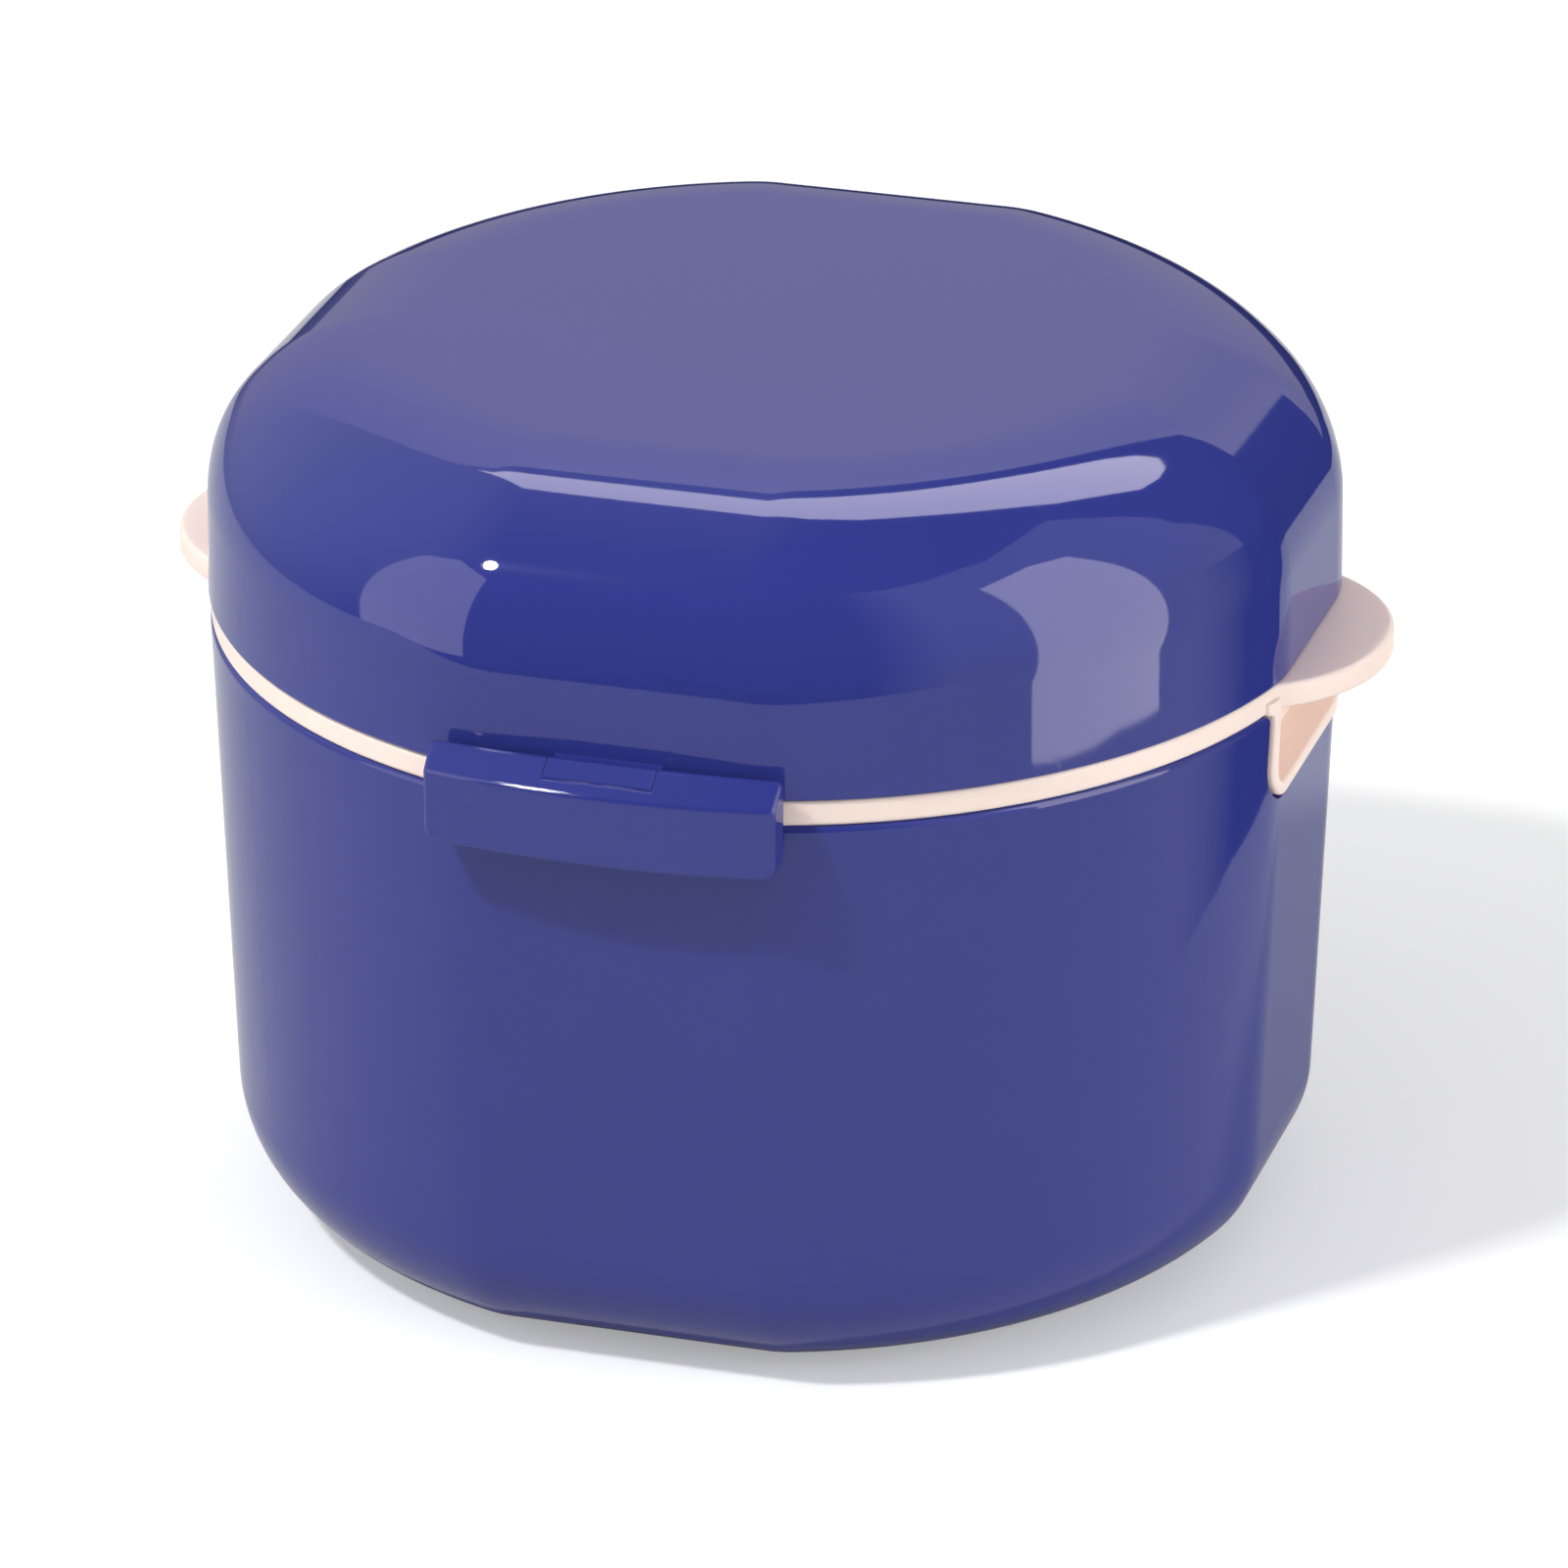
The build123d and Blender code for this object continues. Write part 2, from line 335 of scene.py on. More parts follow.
def add_object(name: str, data: bpy.types.ID) -> bpy.types.Object:
    """Makes an object from its data, in the scene."""
    made = bpy.data.objects.new(name, data)
    bpy.context.scene.collection.objects.link(made)
    return made


def make_body(name: str, points: np.ndarray, faces: list[tuple[int, ...]]) -> bpy.types.Object:
    """Makes a closed mesh object whose faces all look outward.

    Args:
        name: the object's name.
        points: its points in millimetres.
        faces: each face's point numbers.

    Returns:
        The new object, in the scene.
    """
    mesh = bpy.data.meshes.new(name)
    mesh.from_pydata((points * MM).tolist(), [], faces)
    outward = bmesh.new()
    outward.from_mesh(mesh)
    bmesh.ops.recalc_face_normals(outward, faces=outward.faces)
    outward.to_mesh(mesh)
    outward.free()
    return add_object(name, mesh)


def grid_faces(rows: int, columns: int, wrap_rows: bool) -> list[tuple[int, ...]]:
    """Faces of a grid of points that closes on itself along its columns.

    Args:
        rows: number of rows.
        columns: points in each row.
        wrap_rows: whether the last row joins the first.

    Returns:
        The four-sided faces.
    """
    faces = []
    for row in range(rows if wrap_rows else rows - 1):
        here = row * columns
        above = (row + 1) % rows * columns
        for column in range(columns):
            beside = (column + 1) % columns
            faces.append((here + column, here + beside, above + beside, above + column))
    return faces


def loft(name: str, sections: list[np.ndarray], closed: bool = False) -> bpy.types.Object:
    """Skins a row of closed sections that have the same number of points.

    Args:
        name: the object's name.
        sections: the sections' points in three dimensions.
        closed: whether the last section joins the first. An open row gets a flat face at both ends.

    Returns:
        The closed body.
    """
    count = len(sections[0])
    faces = grid_faces(len(sections), count, closed)
    if not closed:
        last = (len(sections) - 1) * count
        faces += [tuple(range(count)), tuple(range(last, last + count))]
    return make_body(name, np.vstack(sections), faces)


def sweep(name: str, outline: Outline, profile: np.ndarray, closed: bool = False) -> bpy.types.Object:
    """Carries a profile round an outline.

    Args:
        name: the object's name.
        outline: the outline in plan.
        profile: the profile's points, each an inset and a height.
        closed: whether the profile is a loop.

    Returns:
        The closed body.
    """
    count = len(outline.points)
    rings = [np.column_stack([outline.ring(inset), np.full(count, z)]) for inset, z in profile]
    return loft(name, rings, closed)


def prism(name: str, shape: list[Point] | np.ndarray, low: float, high: float) -> bpy.types.Object:
    """Extrudes a shape in the YZ plane along X.

    Args:
        name: the object's name.
        shape: the shape's points, each a y and a z.
        low: x of one end.
        high: x of the other end.

    Returns:
        The closed body.
    """
    flat = np.array(shape)
    return loft(name, [np.column_stack([np.full(len(flat), x), flat]) for x in (low, high)])


def prism_pair(name: str, shape: list[Point], near: float, far: float) -> bpy.types.Object:
    """Two like prisms in one object, mirrored about the middle.

    Args:
        name: the object's name.
        shape: the shape's points, each a y and a z.
        near: how far each stands from the middle.
        far: how far each reaches.

    Returns:
        The object that holds both.
    """
    pair = [prism(name, shape, *sorted((side * near, side * far))) for side in (-1, 1)]
    return merge(name, pair)


def combine(body: bpy.types.Object, tool: bpy.types.Object, how: Join) -> None:
    """Adds the tool to the body or cuts it away, and removes the tool.

    Args:
        body: the body that stays.
        tool: the body that is used up.
        how: whether the tool is added or cut away.
    """
    change = body.modifiers.new(how.name, "BOOLEAN")
    change.operation = how.value
    change.solver = "EXACT"
    change.object = tool
    graph = bpy.context.evaluated_depsgraph_get()
    result = bpy.data.meshes.new_from_object(body.evaluated_get(graph))
    body.modifiers.clear()
    former = body.data
    body.data = result
    bpy.data.meshes.remove(former)
    used = tool.data
    bpy.data.objects.remove(tool)
    bpy.data.meshes.remove(used)


def merge(name: str, bodies: list[bpy.types.Object]) -> bpy.types.Object:
    """Puts bodies that stand apart into one object.

    Args:
        name: the new object's name.
        bodies: the bodies, which are used up.

    Returns:
        The object that holds them all.
    """
    whole = bmesh.new()
    for body in bodies:
        whole.from_mesh(body.data)
        used = body.data
        bpy.data.objects.remove(body)
        bpy.data.meshes.remove(used)
    mesh = bpy.data.meshes.new(name)
    whole.to_mesh(mesh)
    whole.free()
    return add_object(name, mesh)


def smooth(body: bpy.types.Object) -> None:
    """Shades round surfaces smooth, keeps true edges, and keeps flat faces flat."""
    body.data.shade_smooth()
    body.data.set_sharp_from_angle(angle=SHARP_ANGLE)
    weighted = body.modifiers.new("flat_faces", "WEIGHTED_NORMAL")
    weighted.keep_sharp = True


def finish_piece(
    body: bpy.types.Object, material: bpy.types.Material, carrier: str, node: str
) -> None:
    """Dresses a piece, ties it to its body and lets it stand for its solid.

    Args:
        body: the piece.
        material: its finish.
        carrier: the moving body that it rides on.
        node: the solid that it stands for.
    """
    smooth(body)
    body.data.materials.clear()
    body.data.materials.append(material)
    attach(body, carrier)
    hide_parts(node)
    log.info("%s: %d faces in %s, on %s", body.name, len(body.data.polygons), material.name, carrier)


def set_values(node: bpy.types.Node, values: dict[str | int, object]) -> None:
    """Sets a node's own input values, by name or number."""
    for label, value in values.items():
        node.inputs[label].default_value = value


def add_node(
    tree: bpy.types.NodeTree, kind: str, values: dict[str | int, object] | None = None, **settings: object
) -> bpy.types.Node:
    """Adds a shader node.

    Args:
        tree: the nodes that it joins.
        kind: its type, without Blender's prefix.
        values: its own input values, by name or number.
        settings: its other settings, by name.

    Returns:
        The node.
    """
    node = tree.nodes.new("ShaderNode" + kind)
    for name, value in settings.items():
        setattr(node, name, value)
    set_values(node, values or {})
    return node


def wire(tree: bpy.types.NodeTree, *wires: Wire) -> None:
    """Links nodes, each wire from one node's output to another's input.

    Args:
        tree: the nodes.
        wires: for each link its first node, the output, its second node and the input.
    """
    for source, output, target, entry in wires:
        tree.links.new(source.outputs[output], target.inputs[entry])


def new_material(name: str) -> tuple[bpy.types.Material, bpy.types.NodeTree, bpy.types.Node]:
    """Makes a material.

    Args:
        name: its name.

    Returns:
        The material, its nodes and its Principled shader.
    """
    material = bpy.data.materials.new(name)
    material.use_nodes = True
    return material, material.node_tree, material.node_tree.nodes["Principled BSDF"]


def new_group(
    name: str, inputs: dict[str, float | tuple[float, ...]], output: str, kind: str
) -> tuple[bpy.types.NodeTree, bpy.types.Node, bpy.types.Node]:
    """Makes an empty shader node group with its sockets.

    Args:
        name: the group's name.
        inputs: each input's default, a number or a colour.
        output: the output's name.
        kind: what it puts out: Float, Color or Vector.

    Returns:
        The group, its input node and its output node.
    """
    group = bpy.data.node_groups.new(name, "ShaderNodeTree")
    for label, value in inputs.items():
        sort = "NodeSocketColor" if isinstance(value, tuple) else "NodeSocketFloat"
        group.interface.new_socket(label, in_out="INPUT", socket_type=sort).default_value = value
    group.interface.new_socket(output, in_out="OUTPUT", socket_type="NodeSocket" + kind)
    return group, group.nodes.new("NodeGroupInput"), group.nodes.new("NodeGroupOutput")


class ShaderKit:
    """Node groups that several finishes share. Each is built once, when it is first asked for."""

    @cached_property
    def edge_wear(self) -> bpy.types.NodeTree:
        """A mask that is 1 on the edges of a piece and 0 on its faces."""
        group, enter, leave = new_group("edge_wear", {"Radius": 0.0004, "Gain": 6.0}, "Mask", "Float")
        soft = add_node(group, "Bevel", samples=BEVEL_SAMPLES)
        true = add_node(group, "NewGeometry")
        likeness = add_node(group, "VectorMath", operation="DOT_PRODUCT")
        difference = add_node(group, "Math", {0: 1}, operation="SUBTRACT")
        gained = add_node(group, "Math", operation="MULTIPLY", use_clamp=True)
        wire(
            group,
            (enter, "Radius", soft, "Radius"),
            (soft, "Normal", likeness, 0),
            (true, "Normal", likeness, 1),
            (likeness, "Value", difference, 1),
            (difference, 0, gained, 0),
            (enter, "Gain", gained, 1),
            (gained, 0, leave, "Mask"),
        )
        return group

    @cached_property
    def moulded_skin(self) -> bpy.types.NodeTree:
        """The faint waviness of a moulded surface, with its edges softened."""
        grain_share = 0.12
        defaults = {"Scale": 450.0, "Grain": 5200.0, "Depth": 0.00001, "Edge Radius": 0.0002}
        group, enter, leave = new_group("moulded_skin", defaults, "Normal", "Vector")
        place = add_node(group, "TexCoord")
        wave = add_node(group, "TexNoise", {"Detail": 1.0})
        grain = add_node(group, "TexNoise", {"Detail": 2.0})
        both = add_node(group, "Math", {1: grain_share}, operation="MULTIPLY_ADD")
        soft = add_node(group, "Bevel", samples=BEVEL_SAMPLES)
        bump = add_node(group, "Bump", {"Strength": 1.0})
        wire(
            group,
            (place, "Object", wave, "Vector"),
            (place, "Object", grain, "Vector"),
            (enter, "Scale", wave, "Scale"),
            (enter, "Grain", grain, "Scale"),
            (grain, "Fac", both, 0),
            (wave, "Fac", both, 2),
            (both, 0, bump, "Height"),
            (enter, "Depth", bump, "Distance"),
            (enter, "Edge Radius", soft, "Radius"),
            (soft, "Normal", bump, "Normal"),
            (bump, "Normal", leave, "Normal"),
        )
        return group

    @cached_property
    def handling(self) -> bpy.types.NodeTree:
        """Roughness that varies with faint wipe marks and fine hairline scratches."""
        hair_turn = (0.5, 0.3, 0.9)
        hair_stretch = (40.0, 1400.0, 90.0)
        defaults = {"Roughness": 0.2, "Smudge": 0.05, "Scratch": 0.05}
        group, enter, leave = new_group("handling", defaults, "Roughness", "Float")
        place = add_node(group, "TexCoord")
        smudge = add_node(group, "TexNoise", {"Scale": 38.0, "Detail": 3.0, "Distortion": 0.6})
        stretch = add_node(group, "Mapping", {"Rotation": hair_turn, "Scale": hair_stretch})
        hair = add_node(group, "TexNoise", {"Scale": 1.0, "Detail": 1.0})
        edges = {"From Min": 0.66, "From Max": 0.74}
        fine = add_node(group, "MapRange", edges, interpolation_type="SMOOTHSTEP")
        add_smudge = add_node(group, "Math", operation="MULTIPLY_ADD")
        add_scratch = add_node(group, "Math", operation="MULTIPLY_ADD")
        wire(
            group,
            (place, "Object", smudge, "Vector"),
            (place, "Object", stretch, "Vector"),
            (stretch, "Vector", hair, "Vector"),
            (hair, "Fac", fine, "Value"),
            (smudge, "Fac", add_smudge, 0),
            (enter, "Smudge", add_smudge, 1),
            (enter, "Roughness", add_smudge, 2),
            (fine, "Result", add_scratch, 0),
            (enter, "Scratch", add_scratch, 1),
            (add_smudge, 0, add_scratch, 2),
            (add_scratch, 0, leave, "Roughness"),
        )
        return group

    @cached_property
    def resin_tint(self) -> bpy.types.NodeTree:
        """A resin's colour with faint flow mottling, paler where a mask says."""
        grey = (0.5, 0.5, 0.5, 1)
        pale = (0.8, 0.8, 0.8, 1)
        defaults = {"Colour": grey, "Flow": 0.04, "Edge Colour": pale, "Edge Mask": 0.0}
        group, enter, leave = new_group("resin_tint", defaults, "Colour", "Color")
        place = add_node(group, "TexCoord")
        flow = add_node(group, "TexNoise", {"Scale": 60.0, "Detail": 2.0, "Distortion": 1.2})
        level = add_node(group, "Math", {1: 0.5}, operation="SUBTRACT")
        gain = add_node(group, "Math", {2: 1.0}, operation="MULTIPLY_ADD")
        tinted = add_node(group, "VectorMath", operation="SCALE")
        edged = add_node(group, "Mix", data_type="RGBA")
        wire(
            group,
            (place, "Object", flow, "Vector"),
            (flow, "Fac", level, 0),
            (level, 0, gain, 0),
            (enter, "Flow", gain, 1),
            (enter, "Colour", tinted, 0),
            (gain, 0, tinted, "Scale"),
            (enter, "Edge Mask", edged, "Factor"),
            (tinted, "Vector", edged, "A"),
            (enter, "Edge Colour", edged, "B"),
            (edged, "Result", leave, "Colour"),
        )
        return group


@dataclass(frozen=True)
class MouldedPlastic:
    """A glossy or satin moulded plastic."""

    name: str
    colour: Colour
    edge_colour: Colour
    roughness: float
    smudge: float
    scratch: float
    wave_depth: float
    ior: float
    subsurface: float = 0.0
    scatter: Colour = (1.0, 0.6, 0.5)
    scatter_scale: float = 0.0012
    edge_gain: float = 1.2
    flow: float = 0.06
    edge_radius: float = 0.00022

    def build(self, kit: ShaderKit) -> bpy.types.Material:
        """Makes the material.

        Args:
            kit: the shared node groups.

        Returns:
            The finished material.
        """
        material, tree, shader = new_material(self.name)
        set_values(shader, {"IOR": self.ior})
        if self.subsurface:
            depth = {"Subsurface Radius": self.scatter, "Subsurface Scale": self.scatter_scale}
            set_values(shader, {"Subsurface Weight": self.subsurface, **depth})
        wear = add_node(tree, "Group", node_tree=kit.edge_wear)
        tint = add_node(tree, "Group", node_tree=kit.resin_tint)
        marks = add_node(tree, "Group", node_tree=kit.handling)
        skin = add_node(tree, "Group", node_tree=kit.moulded_skin)
        set_values(wear, {"Gain": self.edge_gain})
        set_values(tint, {"Colour": (*self.colour, 1), "Edge Colour": (*self.edge_colour, 1)})
        set_values(tint, {"Flow": self.flow})
        set_values(marks, {"Roughness": self.roughness, "Smudge": self.smudge, "Scratch": self.scratch})
        set_values(skin, {"Depth": self.wave_depth, "Edge Radius": self.edge_radius})
        wire(
            tree,
            (wear, "Mask", tint, "Edge Mask"),
            (tint, "Colour", shader, "Base Color"),
            (marks, "Roughness", shader, "Roughness"),
            (skin, "Normal", shader, "Normal"),
        )
        return material


@dataclass(frozen=True)
class DrawnSteel:
    """Bright drawn wire, with fine lines along the X axis."""

    name: str = "drawn_steel"
    colour: Colour = (0.62, 0.62, 0.64)
    flow: float = 0.1
    roughness: float = 0.24
    scratch: float = 0.2
    stretch: tuple[float, float, float] = (60.0, 9000.0, 9000.0)
    line_depth: float = 0.000004

    def build(self, kit: ShaderKit) -> bpy.types.Material:
        """Makes the material.

        Args:
            kit: the shared node groups.

        Returns:
            The finished material.
        """
        material, tree, shader = new_material(self.name)
        set_values(shader, {"Metallic": 1.0})
        tint = add_node(tree, "Group", node_tree=kit.resin_tint)
        marks = add_node(tree, "Group", node_tree=kit.handling)
        set_values(tint, {"Colour": (*self.colour, 1), "Flow": self.flow})
        set_values(marks, {"Roughness": self.roughness, "Scratch": self.scratch})
        place = add_node(tree, "TexCoord")
        along = add_node(tree, "Mapping", {"Scale": self.stretch})
        lines = add_node(tree, "TexNoise", {"Scale": 1.0})
        bump = add_node(tree, "Bump", {"Distance": self.line_depth})
        wire(
            tree,
            (place, "Object", along, "Vector"),
            (along, "Vector", lines, "Vector"),
            (lines, "Fac", bump, "Height"),
            (tint, "Colour", shader, "Base Color"),
            (marks, "Roughness", shader, "Roughness"),
            (bump, "Normal", shader, "Normal"),
        )
        return material


INDIGO_GLOSS = MouldedPlastic(
    "indigo_gloss",
    colour=(0.0285, 0.037, 0.222),
    edge_colour=(0.05, 0.055, 0.3),
    roughness=0.03,
    smudge=0.03,
    scratch=0.05,
    wave_depth=0.0000015,
    ior=1.5,
    edge_radius=0.0001,
)
INDIGO_LATCH = replace(
    INDIGO_GLOSS, name="indigo_latch", roughness=0.05, smudge=0.04, wave_depth=0.000002, edge_radius=0.0003
)
SHELL_PINK = MouldedPlastic(
    "shell_pink_satin",
    colour=(0.92, 0.755, 0.675),
    edge_colour=(0.96, 0.84, 0.78),
    roughness=0.36,
    smudge=0.08,
    scratch=0.03,
    wave_depth=0.00001,
    ior=1.48,
    subsurface=0.25,
)
GREY_SILICONE = MouldedPlastic(
    "clear_grey_silicone",
    colour=(0.62, 0.62, 0.62),
    edge_colour=(0.7, 0.7, 0.7),
    roughness=0.5,
    smudge=0.12,
    scratch=0.0,
    wave_depth=0.00002,
    ior=1.41,
    subsurface=0.4,
)


@dataclass
class Cup:
    """The drafted cup on its low foot, notched at both sides, with hinge lugs and catch rib."""

    corner_r: float = 9.0
    foot_r: float = 0.4
    rim_r: float = 0.5
    inner_rim_r: float = 0.2
    notch_gap: float = 0.3
    bracket_drop: float = 8.0
    catch_w: float = 18.0
    catch_h: float = 0.9
    catch_drop: float = 0.45
    catch_out: float = 0.35
    flat_margin: float = 0.8

    def shell(self) -> bpy.types.Object:
        """The cup's wall, floor and foot, swept in one."""
        draft = tan(radians(SIZES.cup_draft))
        wall = SIZES.cup_wall
        low = SIZES.cup_inset + (SIZES.rim_z - SIZES.foot_h) * draft
        foot = low + self.corner_r
        floor_z = SIZES.foot_h + wall
        inner_top = SIZES.cup_inset + wall
        inner_low = inner_top + (SIZES.rim_z - floor_z) * draft
        profile = rounded(
            [
                (foot + self.flat_margin, 0, 0),
                (foot, 0, self.foot_r),
                (foot, SIZES.foot_h, self.foot_r / 4),
                (low, SIZES.foot_h, self.corner_r),
                (SIZES.cup_inset, SIZES.rim_z, self.rim_r),
                (inner_top, SIZES.rim_z, self.inner_rim_r),
                (inner_low, floor_z, self.corner_r - wall),
                (foot + self.flat_margin, floor_z, 0),
            ]
        )
        return sweep("cup_shell", Outline.box(SIZES.cup_blend + SIZES.cup_inset), profile)

    def lugs(self) -> bpy.types.Object:
        """The two hinge lugs behind the rim."""
        hinge = SIZES.hinge
        root_y = SIZES.cup_flat - SIZES.cup_wall / 2
        top = (root_y, SIZES.rim_z - SIZES.lug_gap)
        low = (root_y, SIZES.rim_z - self.bracket_drop)
        from_angle = angle_to(hinge, top) % 360
        to_angle = tangent_angle(hinge, SIZES.barrel_r, low, 1) % 360 - 360
        shape = [top, *arc_run(hinge, SIZES.barrel_r, from_angle, to_angle), low]
        inner = SIZES.knuckle_w / 2 + SIZES.lug_gap
        return prism_pair("lugs", shape, inner, inner + SIZES.lug_w)

    def catch(self) -> bpy.types.Object:
        """The rib under the rim that the latch's hook snaps over."""
        root_y = -SIZES.cup_flat + SIZES.cup_wall / 2
        face_y = -SIZES.cup_flat - self.catch_out
        top = SIZES.rim_z - self.catch_drop
        low = top - self.catch_h
        bevel = self.catch_out / 2
        shape = [
            (root_y, top),
            (face_y + bevel, top),
            (face_y, top - bevel),
            (face_y, low + bevel),
            (face_y + bevel, low),
            (root_y, low),
        ]
        return prism("catch", shape, -self.catch_w / 2, self.catch_w / 2)

    def notches(self) -> bpy.types.Object:
        """The space cut from both sides of the wall for the basket's finger pockets."""
        grown = SIZES.pocket_lip + self.notch_gap
        near = SIZES.ear_back - SIZES.pocket_w / 2 - grown
        far = SIZES.ear_back + SIZES.pocket_w / 2 + grown
        low = SIZES.pocket_z - grown
        above = SIZES.rim_z + SIZES.band_h
        flare = SIZES.pocket_flare
        shape = rounded(
            [
                (near, low, SIZES.pocket_corner + grown),
                (far, low, SIZES.pocket_corner + grown),
                (far, SIZES.rim_z, flare),
                (far + 2 * flare, SIZES.rim_z, 0),
                (far + 2 * flare, above, 0),
                (near - 2 * flare, above, 0),
                (near - 2 * flare, SIZES.rim_z, 0),
                (near, SIZES.rim_z, flare),
            ],
            closed=True,
        )
        reach = SIZES.plan_r + CUTTER_REACH
        return prism("notches", shape, -reach, reach)

    def build(self, material: bpy.types.Material) -> None:
        """Builds and dresses the cup.

        Args:
            material: its plastic.
        """
        body = self.shell()
        combine(body, self.lugs(), Join.ADD)
        combine(body, self.catch(), Join.ADD)
        reach = SIZES.knuckle_w / 2 + SIZES.lug_gap + SIZES.lug_w + CUTTER_REACH
        combine(body, prism("bore", circle(SIZES.hinge, SIZES.pin_r), -reach, reach), Join.CUT)
        combine(body, self.notches(), Join.CUT)
        finish_piece(body, material, "base", "cup")


@dataclass
class Basket:
    """The perforated bowl under its rim band, with two ears and a finger pocket under each."""

    band_inset: float = 0.2
    band_blend: float = 8.0
    band_r: float = 0.35
    ear_r: float = 13.0
    ear_x: float = 33.5
    ear_root_r: float = 1.2
    bowl_gap: float = 0.6
    wall: float = 1.5
    draft: float = 2.5
    floor_z: float = 6.2
    corner_r: float = 8.0
    bowl_blend: float = 11.0
    pocket_proud: float = 0.3
    pocket_edge_r: float = 0.28
    pocket_steps: int = 24
    edge_steps: int = 4
    band_margin: float = 0.9
    bowl_margin: float = 0.6
    slot_w: float = 2.6
    slot_h: float = 18.0
    slot_z: float = 24.0
    slot_near: float = 26.0
    slot_far: float = 46.0
    slots: int = 24
    floor_slot_l: float = 10.0
    floor_slot_r: float = 19.0
    floor_slots: int = 12
    floor_hole_d: float = 3.2
    floor_hole_r: float = 8.0
    floor_holes: int = 6

    def bowl_inset(self) -> float:
        """Inset of the bowl's outer wall at the band's top."""
        return SIZES.cup_inset + SIZES.cup_wall + self.bowl_gap

    def band_outline(self) -> Outline:
        """The band's outline with its two ears and their rounded roots."""
        blend = self.band_blend + self.band_inset
        front = flat_blends(blend)[1]
        radius = SIZES.plan_r - self.band_inset
        ear = (self.ear_x, SIZES.ear_back)
        far = radius + self.ear_root_r
        near = self.ear_r + self.ear_root_r
        reach = hypot(*ear)
        along = (far**2 - near**2 + reach**2) / (2 * reach)
        aside = degrees(acos(along / far))
        towards = angle_to((0, 0), ear)
        last = angle_to((0, 0), front)
        roots = []
        for turn in (towards - aside, towards + aside):
            root = (far * cos(radians(turn)), far * sin(radians(turn)))
            roots.append((root, turn, angle_to(ear, root)))
        (near_root, near_turn, near_ear), (far_root, far_turn, far_ear) = roots
        rear_blend = Arc(front, self.band_blend, last, 90)
        half = [
            rear_blend.fronted(),
            Arc((0, 0), radius, -last, near_turn),
            Arc(near_root, self.ear_root_r, near_turn + 180, near_ear + 180),
            Arc(ear, self.ear_r, near_ear, far_ear),
            Arc(far_root, self.ear_root_r, far_ear + 180, far_turn + 180),
            Arc((0, 0), radius, far_turn, last),
            rear_blend,
        ]
        return Outline.from_half(half)

    def band(self) -> bpy.types.Object:
        """The band and its ears as one rounded plate."""
        profile = rounded(
            [
                (self.band_margin, SIZES.rim_z, 0),
                (0, SIZES.rim_z, self.band_r),
                (0, SIZES.lid_z, self.band_r),
                (self.band_margin, SIZES.lid_z, 0),
            ]
        )
        return sweep("band", self.band_outline(), profile)

    def bowl_solid(self, inset: float, top: float) -> bpy.types.Object:
        """The bowl's form drawn in by inset, up to a given height."""
        slope = tan(radians(self.draft))
        low_z = self.floor_z + inset
        at_top = self.bowl_inset() + inset - (top - SIZES.lid_z) * slope
        at_low = self.bowl_inset() + inset + (SIZES.lid_z - low_z) * slope
        radius = self.corner_r - inset
        middle = at_low + radius + self.bowl_margin
        profile = rounded([(middle, low_z, 0), (at_low, low_z, radius), (at_top, top, 0)])
        return sweep("bowl", Outline.box(self.bowl_blend + self.bowl_inset()), profile)

    def pocket_path(self) -> list[tuple[float, float, float, float]]:
        """The U that a finger pocket's lip follows, from the rear rim round to the front one.

        Returns:
            Each point's y and z, and the outward normal's y and z.
        """
        lip = SIZES.pocket_lip
        half = SIZES.pocket_w / 2 + lip
        low = SIZES.pocket_z - lip
        outer_r = SIZES.pocket_corner + lip
        hidden_z = SIZES.rim_z + SIZES.band_h / 2
        corner_z = low + outer_r
        path: list[tuple[float, float, float, float]] = []
        steps = self.pocket_steps
        for k in range(steps):
            path.append((half, hidden_z + (corner_z - hidden_z) * k / steps, 1.0, 0.0))
        for y, z in arc_run((half - outer_r, corner_z), outer_r, 0, -90)[:-1]:
            path.append((y, z, (y - half + outer_r) / outer_r, (z - corner_z) / outer_r))
        run = half - outer_r
        for k in range(steps // 2 + 1):
            path.append((run * (1 - 2 * k / steps), low, 0.0, -1.0))
        return path + [(-y, z, -ny, nz) for y, z, ny, nz in reversed(path[:-1])]

    def pocket_section(self) -> list[tuple[float, float | None]]:
        """The lip's section with its two rounded outer edges.

        Returns:
            For each point its place across the lip and its depth under the cup's face, or None at the root.
        """
        lip = SIZES.pocket_lip
        edge = self.pocket_edge_r
        turns = [radians(90 * k / self.edge_steps) for k in range(self.edge_steps + 1)]
        outer = [(edge * (1 - cos(t)), edge * (1 - sin(t))) for t in turns]
        inner = [(lip - edge * (1 - sin(t)), edge * (1 - cos(t))) for t in turns]
        return [(0.0, None), *outer, *inner, (lip, None)]

